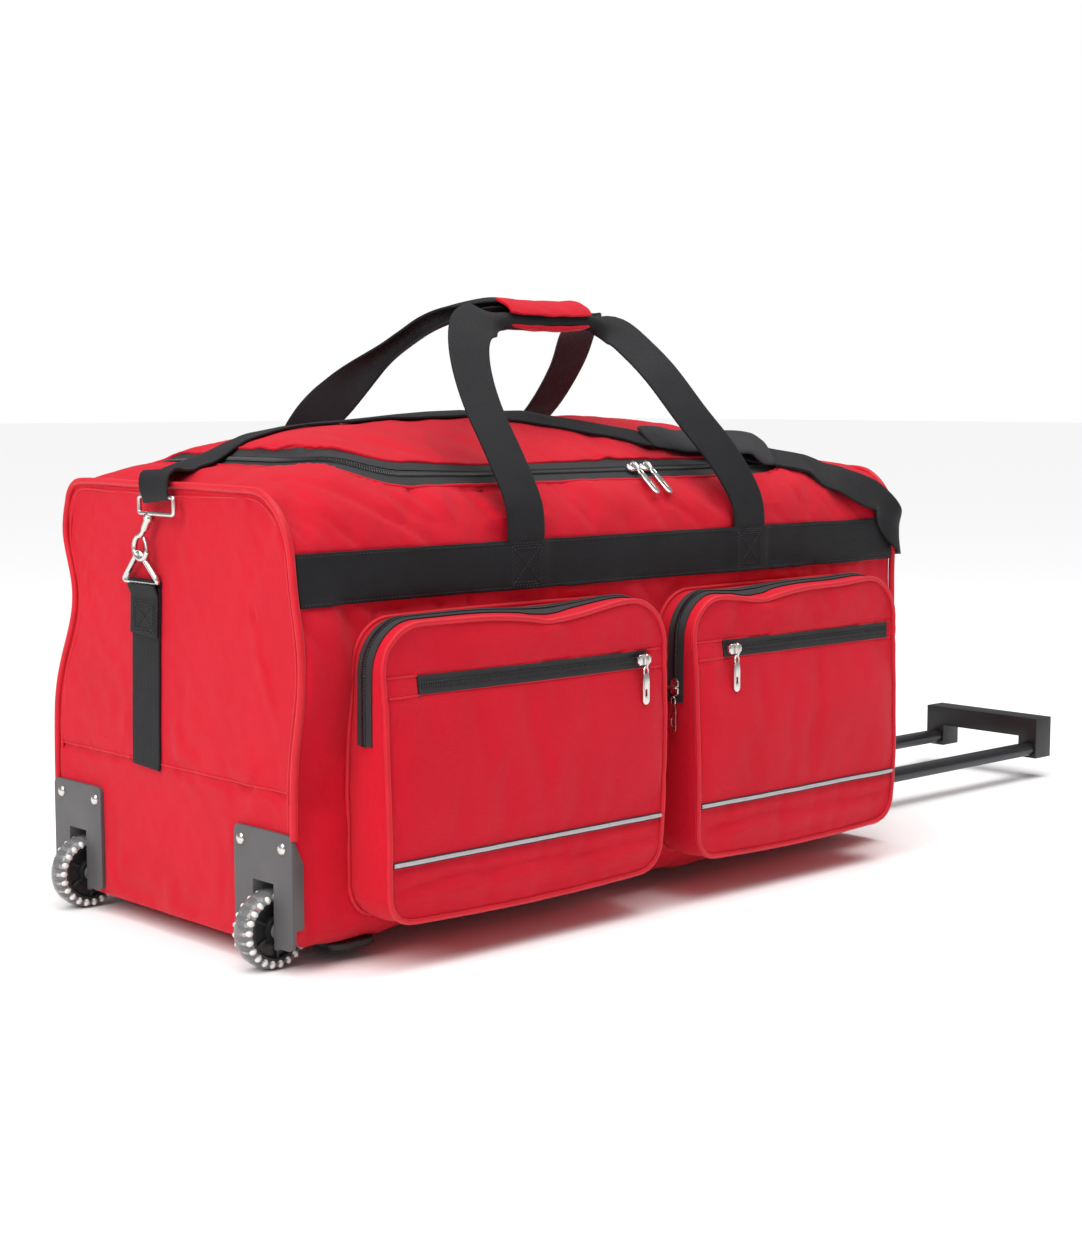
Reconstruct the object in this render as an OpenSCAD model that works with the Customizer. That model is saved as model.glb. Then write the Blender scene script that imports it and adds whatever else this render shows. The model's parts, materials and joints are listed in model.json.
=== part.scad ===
// Rolling duffel bag: a soft case on two corner wheels, with a lid that zips open,
// two outside pockets, two carry handles joined by a wrap, a shoulder strap and a pull-out trolley.
// Origin: on the floor under the middle of the bag. +X points to the trolley, -Y to the pockets.

/* [Bag] */
// Length of the bag, from the wheel end to the trolley end
bag_l = 720; // [640:10:800]
// Depth of the bag, from front to rear without the pockets
bag_w = 342; // [320:2:360]
// Height of the top at the middle of the bag
crown_z = 412; // [405:1:420]
// Height of the bag's underside above the floor
base_z = 16; // [14:1:20]
// Thickness of a fabric wall with its lining
wall = 4; // [3:0.5:5]
// Height of the top edge of the two end panels
end_top_z = 367; // [360:1:372]
// Diameter of the corded piping
piping_d = 4.5; // [3:0.5:6]

/* [Lid and main zip] */
// Near end of the lid, at the wheel end
lid_x0 = -285; // [-300:1:-260]
// Far end of the lid, at the trolley end
lid_x1 = 270; // [250:1:300]
// Front edge of the lid
lid_y0 = -125; // [-128:1:-115]
// Line about which the lid folds back
hinge_y = 115; // [100:1:116]
// Radius of the lid's two front corners
lid_corner_r = 70; // [40:1:90]
// Width of the zip tape on each side of the opening
tape_w = 9; // [6:1:12]

/* [Webbing] */
// Width of all the webbing
web_w = 40; // [30:1:50]
// Thickness of one layer of webbing
web_t = 2.5; // [1.5:0.5:4]
// Lower edge of the band along the front and the rear
band_z = 281; // [240:1:290]
// Middle of the handle legs nearest the wheels
leg_x0 = -126; // [-150:1:-100]
// Middle of the handle legs nearest the trolley
leg_x1 = 147; // [120:1:170]
// Length of the handle wrap
wrap_l = 118; // [100:1:130]
// Height of the middle of the wrap
wrap_z = 512; // [480:1:520]
// Place of the middle of the wrap, front to rear
wrap_y = -48; // [-60:1:-40]

/* [Pockets] */
// Height of the lower edge of the pockets
pocket_z0 = 30; // [26:1:40]
// Height of the upper edge of the pockets
pocket_z1 = 267; // [250:1:272]
// How far the pockets stand out
pocket_t = 47; // [30:1:55]
// Left edge and right edge of the pocket nearest the wheels
left_pocket_x = [-308, -8];
// Left edge and right edge of the pocket nearest the trolley
right_pocket_x = [32, 304];
// Radius of the pockets' corners
pocket_r = 38; // [20:1:45]

/* [Wheels] */
// Diameter of the wheels
wheel_d = 62; // [50:1:66]
// Width of the tyres
wheel_w = 22; // [18:1:24]
// Distance of each wheel from the middle of the bag
wheel_y = 136; // [130:1:140]
// Place of the axles along the bag
axle_x = -356.5; // [-362:0.5:-350]
// Diameter of the axles
axle_d = 8; // [6:0.5:8]

/* [Trolley] */
// Distance of each tube from the middle of the bag
tube_y = 64.7; // [55:0.1:70]
// Height of the tubes' middle above the floor
tube_z = 34; // [33:0.5:36]
// Height of the tubes' section
tube_h = 14; // [10:1:14]
// Width of the tubes' section
tube_w = 20; // [16:1:22]
// Length of the tubes
tube_l = 735; // [600:5:740]
// Place of the grip's inner face when it is pulled out
grip_x = 757; // [740:1:770]

/* [Zip sliders] */
// Length of a pull tab
pull_l = 31; // [24:1:34]
// Width of a pull tab
pull_w = 7.5; // [6:0.5:9]

/* [Hidden] */

half_l = bag_l / 2;
half_w = bag_w / 2;
// Rounding of the long edges: under the bag, at the shoulders and over the top
foot_r = 28;
shoulder_r = 55;
crown_r = 235;
shoulder_y = half_w - shoulder_r;
crown_c = crown_z - crown_r;
shoulder_z = crown_c + sqrt(pow(crown_r - shoulder_r, 2) - pow(shoulder_y, 2));
shoulder_a = atan2(shoulder_z - crown_c, shoulder_y);
// The top falls away to both ends along one long arc
dome_r = (pow(half_l, 2) + pow(crown_z - end_top_z, 2)) / (2 * (crown_z - end_top_z));
dome_c = crown_z - dome_r;
// Heights at which the panels are sewn together
base_seam_z = 44;
yoke_seam_z = 340;
lid_gap = 1;
hinge_gap = 0.5;
// Wheel bay cut out of each lower corner at the wheel end
bay = [axle_x - 50, -(wheel_y + 18), -1];
bay_size = [89, 36, 74];
pocket_y = -half_w - pocket_t;
// Distance of the main zip's sliders from the bag's middle, and the slope of the top there
zip_y = 130;
zip_slope = asin(zip_y / crown_r);
main_slider_x = [42, 58];
tab_fall = 40;

function arc(cx, cy, r, a0, a1, n) =
    [for (i = [0:n]) let (a = a0 + (a1 - a0) * i / n) [cx + r * cos(a), cy + r * sin(a)]];

// Cross-section of the bag, grown outwards by d
function body_outline(d) = concat(
    arc(half_w - foot_r, base_z + foot_r, foot_r + d, -90, 0, 6),
    arc(shoulder_y, shoulder_z, shoulder_r + d, 0, shoulder_a, 8),
    arc(0, crown_c, crown_r + d, shoulder_a, 180 - shoulder_a, 20),
    arc(-shoulder_y, shoulder_z, shoulder_r + d, 180 - shoulder_a, 180, 8),
    arc(-half_w + foot_r, base_z + foot_r, foot_r + d, 180, 270, 6));

// Side view of the bag, grown outwards by d
function dome_outline(d) = concat([[half_l + 9, base_z - 9], [-half_l - 9, base_z - 9]],
    [for (i = [0:24]) let (x = -(half_l + 9) + (bag_l + 18) * i / 24)
        [x, dome_c + sqrt(pow(dome_r + d, 2) - pow(x, 2))]]);

// Height of the top of the bag at any place
function top_z(x, y) = min(dome_c + sqrt(pow(dome_r, 2) - x * x),
    abs(y) < shoulder_y ? crown_c + sqrt(pow(crown_r, 2) - y * y)
    : shoulder_z + sqrt(max(0, pow(shoulder_r, 2) - pow(abs(y) - shoulder_y, 2))));

// Lifts a flat (y, z) shape to a slab between two places along the bag
module along_x(x0, x1) {
    translate([x0, 0, 0]) rotate([90, 0, 90]) linear_extrude(x1 - x0) children();
}

// Lifts a flat (x, z) shape to a slab between two places across the bag
module along_y(y0, y1) {
    translate([0, y1, 0]) rotate([90, 0, 0]) linear_extrude(y1 - y0) children();
}

module block(a, b) {
    translate(a) cube(b - a);
}

// Repeats a shape on the other side of the bag's middle plane
module both_sides() {
    children();
    mirror([0, 1, 0]) children();
}

module round_rect(a, b, r) {
    translate([a[0] + r, a[1]]) square([b[0] - a[0] - 2 * r, b[1] - a[1]]);
    translate([a[0], a[1] + r]) square([b[0] - a[0], b[1] - a[1] - 2 * r]);
    for (x = [a[0] + r, b[0] - r], y = [a[1] + r, b[1] - r])
        translate([x, y]) circle(r, $fn = 64);
}

module body_solid(d) {
    intersection() {
        along_x(-half_l - d, half_l + d) polygon(body_outline(d));
        along_y(-half_w - 9, half_w + 9) polygon(dome_outline(d));
    }
}

module shell() {
    difference() {
        body_solid(0);
        body_solid(-wall);
    }
}

// Plan of the lid, grown outwards by d; its rear edge is at y1
module lid_plan(d, y1) {
    r = lid_corner_r + d;
    cy = lid_y0 + lid_corner_r;
    translate([lid_x0 - d, cy]) square([lid_x1 - lid_x0 + 2 * d, y1 - cy]);
    translate([lid_x0 + lid_corner_r, lid_y0 - d])
        square([lid_x1 - lid_x0 - 2 * lid_corner_r, cy - lid_y0 + d + 1]);
    for (x = [lid_x0 + lid_corner_r, lid_x1 - lid_corner_r])
        translate([x, cy]) circle(r, $fn = 64);
}

module lid_column(d, y1) {
    translate([0, 0, yoke_seam_z]) linear_extrude(100) lid_plan(d, y1);
}

module wheel_bays() {
    both_sides() translate(bay) cube(bay_size);
}

module long_wall(x_side) {
    intersection() {
        shell();
        block([-half_l + wall, min(0, x_side * 200), base_seam_z],
            [half_l - wall, max(0, x_side * 200), yoke_seam_z]);
    }
}

module end_outline(d) {
    intersection() {
        polygon(body_outline(d));
        translate([-200, 0]) square([400, end_top_z + d]);
    }
}

// ---- Case -----------------------------------------------------------------

module front_panel() {
    color("crimson") long_wall(-1);
}

module rear_panel() {
    color("crimson") long_wall(1);
}

module base_panel() {
    color("firebrick") difference() {
        intersection() {
            shell();
            block([-half_l + wall, -200, 0], [half_l - wall, 200, base_seam_z]);
        }
        wheel_bays();
    }
}

module wheel_end_panel() {
    color("crimson") difference() {
        along_x(-half_l, -half_l + wall) end_outline(0);
        wheel_bays();
    }
}

module handle_end_panel() {
    color("crimson") difference() {
        along_x(half_l - wall, half_l) end_outline(0);
        for (y = [-tube_y, tube_y])
            block([half_l - 10, y - 14, tube_z - 11], [half_l + 10, y + 14, tube_z + 11]);
    }
}

module top_yoke() {
    color("crimson") difference() {
        intersection() {
            shell();
            block([-half_l + wall, -200, yoke_seam_z], [half_l - wall, 200, 430]);
        }
        lid_column(tape_w, hinge_y + hinge_gap);
    }
}

// Stiff board that lies in the bottom of the bag
module base_board() {
    color("dimgray") difference() {
        block([-half_l + wall + 1, -140, base_z + wall], [half_l - wall - 1, 140, base_z + wall + 3]);
        wheel_bays();
    }
}

module piping_ring(x0) {
    along_x(x0, x0 + wall) difference() {
        end_outline(piping_d / 2);
        end_outline(0);
    }
}

module end_piping() {
    color("red") difference() {
        union() {
            piping_ring(-half_l);
            piping_ring(half_l - wall);
        }
        wheel_bays();
        both_sides() block([-half_l - 1, wheel_y - 39, 0], [-half_l + 20, 200, 110]);
    }
}

// Webbing sewn along the front and the rear, with the sewn ends of the handle legs on it
module webbing_bands() {
    color("black") both_sides() {
        block([-half_l + piping_d, -half_w - web_t, band_z], [half_l - piping_d, -half_w, band_z + web_w]);
        for (x = [leg_x0, leg_x1])
            block([x - web_w / 2, -half_w - web_t - 3, band_z + 2],
                [x + web_w / 2, -half_w - web_t, band_z + web_w - 1]);
    }
}

module main_zip() {
    color([0.12, 0.12, 0.13]) intersection() {
        shell();
        difference() {
            lid_column(tape_w, hinge_y + hinge_gap);
            lid_column(0, hinge_y + 2);
        }
    }
}

// ---- Lid ------------------------------------------------------------------

module lid_panel() {
    color("crimson") intersection() {
        shell();
        lid_column(-lid_gap - tape_w, hinge_y - hinge_gap);
    }
}

module lid_zip_tape() {
    color([0.12, 0.12, 0.13]) intersection() {
        shell();
        difference() {
            lid_column(-lid_gap, hinge_y - hinge_gap);
            lid_column(-lid_gap - tape_w, hinge_y + 2);
        }
    }
}

// ---- Pockets --------------------------------------------------------------

module pocket_face(x, d) {
    round_rect([x[0] - d, pocket_z0 - d], [x[1] + d, pocket_z1 + d], pocket_r + d);
}

module pocket(x) {
    difference() {
        along_y(pocket_y, -half_w) pocket_face(x, 0);
        along_y(pocket_y + 3, -half_w + 1) pocket_face(x, -3);
    }
}

module left_pocket() {
    color("crimson") pocket(left_pocket_x);
}

module right_pocket() {
    color("crimson") pocket(right_pocket_x);
}

module pocket_piping() {
    color("red") for (x = [left_pocket_x, right_pocket_x])
        along_y(pocket_y, pocket_y + piping_d - 1) difference() {
            pocket_face(x, 1.5);
            pocket_face(x, 0);
        }
}

side_zip_y = -half_w - 26;
side_zip_z = 175;
side_zip_t = 1.2;

// Zips round the top and down both sides of each pocket
module pocket_side_zips() {
    color([0.12, 0.12, 0.13]) for (x = [left_pocket_x, right_pocket_x]) intersection() {
        along_y(side_zip_y - 9, side_zip_y + 9) difference() {
            pocket_face(x, side_zip_t);
            pocket_face(x, 0);
        }
        block([-half_l, -half_w - 99, side_zip_z], [half_l, 0, 300]);
    }
}

face_zip_z = [212, 227];
left_face_zip_x = [-274, -28];
right_face_zip_x = [69, 296];

module pocket_face_zips() {
    color([0.12, 0.12, 0.13]) for (x = [left_face_zip_x, right_face_zip_x])
        block([x[0], pocket_y - 1, face_zip_z[0]], [x[1], pocket_y, face_zip_z[1]]);
}

module reflective_piping() {
    color("silver") for (x = [left_pocket_x, right_pocket_x])
        block([x[0] + 3, pocket_y - 1.5, 84], [x[1] - 3, pocket_y, 87]);
}

// ---- Zip sliders and pull tabs ----------------------------------------------

// Body of a slider, lying on the zip with its top away from it
module slider_body() {
    difference() {
        union() {
            translate([-7, -4.5, 0.5]) cube([14, 9, 4]);
            translate([-4.5, -4.5, 0.5]) cube([9, 9, 6]);
        }
        translate([-2.5, -5, 3.2]) cube([5, 10, 1.6]);
    }
}

// Pull tab whose ring is at the origin and which hangs along -y
module pull_tab() {
    difference() {
        union() {
            translate([-pull_w / 2, -pull_l + pull_w / 2, -0.8]) cube([pull_w, pull_l - pull_w / 2 - 3, 1.6]);
            translate([0, -pull_l + pull_w / 2, -0.8]) cylinder(h = 1.6, d = pull_w, $fn = 32);
            translate([-2, -4, -0.8]) cube([4, 4, 1.6]);
        }
        translate([-1.5, -pull_l + pull_w, -2]) cube([3, 7, 4]);
    }
}

// The slope of the top where the main zip runs, at a place along the bag
module on_main_zip(x) {
    translate([x, 0, crown_c]) rotate([zip_slope, 0, 0]) translate([0, 0, crown_r]) children();
}

module on_pocket_face(x, z) {
    translate([x, pocket_y - 1, z]) rotate([90, 0, 0]) children();
}

// turn is +1 on a side that faces the trolley and -1 on one that faces the wheels
module on_pocket_side(x, z, turn) {
    translate([x + turn * side_zip_t, side_zip_y, z]) rotate([0, turn * 90, 0])
        rotate([0, 0, turn * 90]) children();
}

// Where a pull's ring lies above its slider
pull_lift = 5.2;
pull_reach = 6.4;
side_pull_reach = 9;
face_slider_x = [left_face_zip_x[1] - 8, right_face_zip_x[0] + 8];
face_slider_z = (face_zip_z[0] + face_zip_z[1]) / 2;
side_slider_z = 188;

module main_slider_left() {
    color("silver") on_main_zip(main_slider_x[0]) slider_body();
}

module main_slider_right() {
    color("silver") on_main_zip(main_slider_x[1]) slider_body();
}

module main_pull(x) {
    on_main_zip(x) translate([0, -pull_reach, pull_lift]) rotate([tab_fall - zip_slope, 0, 0]) pull_tab();
}

module main_pull_left() {
    color("silver") main_pull(main_slider_x[0]);
}

module main_pull_right() {
    color("silver") main_pull(main_slider_x[1]);
}

module left_face_slider() {
    color("silver") on_pocket_face(face_slider_x[0], face_slider_z) slider_body();
}

module right_face_slider() {
    color("silver") on_pocket_face(face_slider_x[1], face_slider_z) slider_body();
}

module face_pull(x) {
    on_pocket_face(x, face_slider_z) translate([0, -pull_reach, pull_lift]) pull_tab();
}

module left_face_pull() {
    color("silver") face_pull(face_slider_x[0]);
}

module right_face_pull() {
    color("silver") face_pull(face_slider_x[1]);
}

module left_side_slider() {
    color("silver") on_pocket_side(left_pocket_x[1], side_slider_z, 1) rotate([0, 0, 90]) slider_body();
}

module right_side_slider() {
    color("silver") on_pocket_side(right_pocket_x[0], side_slider_z, -1) rotate([0, 0, 90]) slider_body();
}

module side_pull(x, turn) {
    translate([x + turn * (side_zip_t + pull_lift), side_zip_y, side_slider_z - side_pull_reach])
        rotate([90, 0, 90]) pull_tab();
}

module left_side_pull() {
    color("silver") side_pull(left_pocket_x[1], 1);
}

module right_side_pull() {
    color("silver") side_pull(right_pocket_x[0], -1);
}

// ---- Wheels -----------------------------------------------------------------

housing_x = -half_l - 3.5;
housing_top = 109;
slot_half = 13.5;
cheek_t = 4;

// Plastic shell that wraps the lower corner and carries the axle in two cheeks
module wheel_housing() {
    difference() {
        union() {
            difference() {
                along_x(housing_x, -half_l) round_rect([-half_w - 2.5, 20], [-98, housing_top], 6);
                block([-half_l - 20, -wheel_y - slot_half - 1, -1],
                    [-half_l + 20, -wheel_y + slot_half + 1, 70]);
            }
            block([housing_x, -half_w - 2.5, 36], [-half_l + 12, -half_w, housing_top - 6]);
            difference() {
                block([housing_x, -wheel_y - slot_half - cheek_t, 18],
                    [-half_l + 40, -wheel_y + slot_half + cheek_t, 72.5]);
                block([housing_x - 1, -wheel_y - slot_half, 0], [-half_l + 37, -wheel_y + slot_half, 69]);
            }
        }
        translate([axle_x, -wheel_y - slot_half - cheek_t, wheel_d / 2]) rotate([-90, 0, 0])
            cylinder(h = 2 * (slot_half + cheek_t), d = axle_d + 0.06, $fn = 48);
    }
}

module front_wheel_housing() {
    color("dimgray") wheel_housing();
}

module rear_wheel_housing() {
    color("dimgray") mirror([0, 1, 0]) wheel_housing();
}

rivet_d = 9.5;

module housing_rivets() {
    color("silver") both_sides() for (y = [-half_w + 10, -107])
        translate([housing_x, y, housing_top - 11]) rotate([0, -90, 0])
            cylinder(h = 2.4, d = rivet_d, $fn = 32);
}

module wheel_axles() {
    color("silver") both_sides()
        translate([axle_x, -wheel_y - slot_half - cheek_t + 0.2, wheel_d / 2]) rotate([-90, 0, 0])
            cylinder(h = 2 * (slot_half + cheek_t) - 0.4, d = axle_d, $fn = 48);
}

bush_d = 14;
core_d = 48;

module ring(y, w, d_out, d_in) {
    translate([axle_x, y - w / 2, wheel_d / 2]) rotate([-90, 0, 0]) difference() {
        cylinder(h = w, d = d_out, $fn = 96);
        translate([0, 0, -1]) cylinder(h = w + 2, d = d_in, $fn = 96);
    }
}

module wheel_bushes(y) {
    ring(y - 7, 8, bush_d, axle_d + 0.1);
    ring(y + 7, 8, bush_d, axle_d + 0.1);
}

module front_wheel_core() {
    color("black") ring(-wheel_y, wheel_w - 2, core_d, bush_d);
}

module front_wheel_tyre() {
    color("lightgray") ring(-wheel_y, wheel_w, wheel_d, core_d);
}

module front_wheel_bushes() {
    color("gray") wheel_bushes(-wheel_y);
}

module rear_wheel_core() {
    color("black") ring(wheel_y, wheel_w - 2, core_d, bush_d);
}

module rear_wheel_tyre() {
    color("lightgray") ring(wheel_y, wheel_w, wheel_d, core_d);
}

module rear_wheel_bushes() {
    color("gray") wheel_bushes(wheel_y);
}

// Runners that keep the wheel corners off kerbs and steps
module corner_skids() {
    color("black") both_sides() translate([0, 0, 9]) linear_extrude(base_z - 9)
        round_rect([-half_l + 43, -half_w + 8], [-272, -98], 12);
}

module base_feet() {
    color("black") for (y = [-75, 75]) translate([300, y, 0]) {
        cylinder(h = base_z, d = 26, $fn = 48);
        translate([0, 0, 6]) cylinder(h = base_z - 6, d = 34, $fn = 48);
    }
}

// ---- Strap hardware on the two ends -------------------------------------------

end_strap_y = [8, 48];
end_strap_z = [140, 283];
hook_y = 18;
hook_z = 317;
hook_x = half_l + 9;
wire = 4;

// Repeats a shape of the wheel end at the trolley end
module both_ends() {
    children();
    mirror([1, 0, 0]) children();
}

module end_straps() {
    color("black") both_ends()
        block([-half_l - web_t, end_strap_y[0], end_strap_z[0]], [-half_l, end_strap_y[1], end_strap_z[1]]);
}

module rod(a, b, d) {
    hull() {
        translate(a) sphere(d = d, $fn = 16);
        translate(b) sphere(d = d, $fn = 16);
    }
}

module strap_triangles() {
    color("silver") both_ends() {
        a = [-half_l - wire / 2 - 0.5, end_strap_y[0] - 4, end_strap_z[1] + 4];
        b = [a[0], end_strap_y[1] + 4, a[2]];
        c = [a[0], hook_y, a[2] + 27];
        rod(a, b, wire);
        rod(b, c, wire);
        rod(c, a, wire);
    }
}

// Snap hook with its eye in the triangle, a swivel and a rectangular bail for the strap
module snap_hook() {
    along_x(-hook_x - wire / 2, -hook_x + wire / 2) {
        difference() {
            translate([hook_y, hook_z]) circle(11.5, $fn = 48);
            translate([hook_y, hook_z]) circle(7.5, $fn = 48);
            translate([hook_y - 14, hook_z - 6]) square([8, 12]);
        }
        polygon([[hook_y - 4, hook_z + 10], [hook_y + 4, hook_z + 10],
            [hook_y - 7, hook_z + 28], [hook_y - 15, hook_z + 28]]);
        difference() {
            round_rect([-33, hook_z + 26], [21, hook_z + 41], 3);
            round_rect([-29, hook_z + 30], [17, hook_z + 37], 1);
        }
    }
}

module wheel_end_hook() {
    color("silver") snap_hook();
}

module handle_end_hook() {
    color("silver") mirror([1, 0, 0]) snap_hook();
}

// Sprung gate that closes the mouth of the hook's eye
module hook_gate() {
    along_x(-hook_x - wire / 2, -hook_x + wire / 2)
        translate([hook_y - 11, hook_z - 4.8]) square([3, 9.8]);
}

module wheel_end_gate() {
    color("silver") hook_gate();
}

module handle_end_gate() {
    color("silver") mirror([1, 0, 0]) hook_gate();
}

// ---- Webbing: handles and shoulder strap ----------------------------------------

// Webbing through a list of places; each entry gives a place and the webbing's spread [x, y, z] there
module webbing(points, spread, t) {
    for (i = [0:len(points) - 2]) hull() {
        translate(points[i]) cube([spread[i][0], spread[i][1], t], center = true);
        translate(points[i + 1]) cube([spread[i + 1][0], spread[i + 1][1], t], center = true);
    }
}

grip_w = 14;
grip_t = 9;
grip_tilt = 15;
// Places of the two folded grips in the wrap, measured across it from its middle
front_grip = -12;
rear_grip = 10.5;
// The legs bend where they leave the sewn band
leg_z0 = band_z + web_w + 4;

// One leg of the front handle, from the band to the folded grip
function front_leg(x0, x1) = [
    [x0, -half_w - web_t - 1.6, leg_z0],
    [x0 + 0.04 * (x1 - x0), -half_w - 4, band_z + 72],
    [x0 + 0.20 * (x1 - x0), -half_w + 16, band_z + 120],
    [x0 + 0.48 * (x1 - x0), -half_w + 48, band_z + 175],
    [x0 + 0.80 * (x1 - x0), -half_w + 88, band_z + 217],
    [x1, wrap_y + front_grip * cos(grip_tilt), wrap_z + front_grip * sin(grip_tilt)]];

function rear_leg(x0, x1) = [
    [x0, half_w + web_t + 1.6, leg_z0],
    [x0 + 0.03 * (x1 - x0), half_w + 1, band_z + 72],
    [x0 + 0.14 * (x1 - x0), half_w - 22, band_z + 130],
    [x0 + 0.36 * (x1 - x0), half_w - 74, band_z + 180],
    [x0 + 0.70 * (x1 - x0), half_w - 150, band_z + 216],
    [x1, wrap_y + rear_grip * cos(grip_tilt), wrap_z + rear_grip * sin(grip_tilt)]];

leg_spread = [[web_w, 3], [web_w, 3], [web_w - 2, 4], [web_w - 6, 5], [26, 9], [14, 12]];

module grip_bar(y, l) {
    translate([wrap_x, wrap_y, wrap_z]) rotate([grip_tilt, 0, 0]) translate([0, y, 0])
        cube([l, grip_w, grip_t], center = true);
}

wrap_x = (leg_x0 + leg_x1) / 2;

module front_handle() {
    color([0.1, 0.1, 0.1]) {
        webbing(front_leg(leg_x0, wrap_x - wrap_l / 2 - 8), leg_spread, 3);
        webbing(front_leg(leg_x1, wrap_x + wrap_l / 2 + 8), leg_spread, 3);
        grip_bar(front_grip, wrap_l + 20);
    }
}

module rear_handle() {
    color([0.1, 0.1, 0.1]) {
        webbing(rear_leg(leg_x0, wrap_x - wrap_l / 2 - 8), leg_spread, 3);
        webbing(rear_leg(leg_x1, wrap_x + wrap_l / 2 + 8), leg_spread, 3);
        grip_bar(rear_grip, wrap_l + 20);
    }
}

// Padded wrap that keeps the two grips together; its mouth faces the front
module handle_wrap() {
    color("crimson") translate([wrap_x - wrap_l / 2, wrap_y, wrap_z]) rotate([grip_tilt, 0, 0])
        rotate([90, 0, 90]) linear_extrude(wrap_l) difference() {
            round_rect([-25, -12], [22, 12], 8);
            translate([-30, -7.5]) square([34, 15]);
            translate([2.5, -4.8]) square([16, 9.6]);
        }
}

strap_lift = 2;
strap_t = 2.5;

// Entries along the shoulder strap on top of the bag, at its height there
function on_top(x, y, lift) = [x, y, top_z(x, y) + lift];

module flat_webbing(points, w, t) {
    for (i = [0:len(points) - 2]) hull() {
        translate(points[i]) cube([1, w, t], center = true);
        translate(points[i + 1]) cube([1, w, t], center = true);
    }
}

strap_y0 = 0;
strap_break = 3;
// The strap drifts towards the front as it nears the trolley end
function strap_run(x) = x < 66 ? strap_y0 : -62 * pow((x - 66) / 200, 0.8);

module shoulder_strap_wheel_end() {
    color([0.1, 0.1, 0.1]) {
        block([-hook_x - 1.2, -26, hook_z + 41.3], [-hook_x + 1.2, 12, end_top_z + 6]);
        flat_webbing([[-hook_x, -7, end_top_z + 7], [-half_l, -6, end_top_z + 8],
            on_top(-330, -3, 3), on_top(lid_x0 - tape_w - strap_break, strap_y0, strap_lift)],
            web_w - 2, strap_t);
    }
}

module shoulder_strap_middle() {
    color([0.1, 0.1, 0.1]) flat_webbing(concat(
        [for (x = [lid_x0 + tape_w: 50: 66]) on_top(x, strap_y0, strap_lift)],
        [for (x = [110, 150, 200, 258]) on_top(x, strap_run(x), strap_lift)]),
        web_w - 2, strap_t);
}

module shoulder_strap_handle_end() {
    color([0.1, 0.1, 0.1]) {
        flat_webbing([on_top(lid_x1 + tape_w + strap_break, -62, strap_lift),
            on_top(320, -76, strap_lift + 1),
            [352, -84, end_top_z + 9], [hook_x - 1, -84, end_top_z + 6]], web_w - 2, strap_t);
        hull() {
            block([hook_x - 1.2, -103, end_top_z - 2], [hook_x + 1.2, -65, end_top_z + 4]);
            block([hook_x - 1.2, -26, hook_z + 41.3], [hook_x + 1.2, 12, hook_z + 44]);
        }
    }
}

// Padded sleeve on the shoulder strap
module shoulder_pad() {
    color([0.2, 0.2, 0.2]) {
        pts = [for (x = [112, 150, 200, 250]) on_top(x, strap_run(x), strap_lift + 3.8)];
        for (i = [0:len(pts) - 2]) hull() {
            translate(pts[i]) cube([2, 56, 4], center = true);
            translate(pts[i + 1]) cube([2, 56, 4], center = true);
        }
    }
}

// ---- Trolley -----------------------------------------------------------------

// Oval section of a tube, grown outwards by d
module oval(d) {
    w = tube_w + 2 * d;
    h = tube_h + 2 * d;
    for (s = [-1, 1]) translate([s * (w - h) / 2, 0]) circle(d = h, $fn = 48);
    square([w - h, h], center = true);
}

module trolley_tubes() {
    color([0.18, 0.18, 0.2]) both_sides() along_x(grip_x + 8 - tube_l, grip_x + 8)
        translate([tube_y, tube_z]) difference() {
            oval(0);
            oval(-1.2);
        }
}

// Fixed tubes on the base board that the trolley slides in
module trolley_guide_tubes() {
    color("gray") both_sides() along_x(-half_l + wall + 2, half_l - 2)
        translate([tube_y, tube_z]) difference() {
            oval(2.4);
            oval(0.6);
        }
}

module tube_stops() {
    color("black") both_sides() along_x(grip_x + 8 - tube_l - 8, grip_x + 8 - tube_l)
        translate([tube_y, tube_z]) oval(0.3);
}

module trolley_bezel() {
    color("black") both_sides() along_x(half_l - 2, half_l + 6) translate([tube_y, tube_z]) difference() {
        translate([-14, -11]) square([28, 22]);
        oval(0.5);
    }
}

grip_end_w = 24;
grip_t_x = 29;
grip_z = [24, 70];

// Grip that joins the two tubes: a bar across the top and a block on each tube
module trolley_grip() {
    color("black") difference() {
        union() {
            translate([grip_x, 0, 0]) {
                block([0, -tube_y - grip_end_w / 2, grip_z[1] - 22],
                    [grip_t_x, tube_y + grip_end_w / 2, grip_z[1]]);
                both_sides() block([0, tube_y - grip_end_w / 2, grip_z[0]],
                    [grip_t_x, tube_y + grip_end_w / 2, grip_z[1] - 22]);
            }
        }
        both_sides() along_x(grip_x - 1, grip_x + 8) translate([tube_y, tube_z]) oval(0);
    }
}

// ---- Assembly -----------------------------------------------------------------

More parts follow.
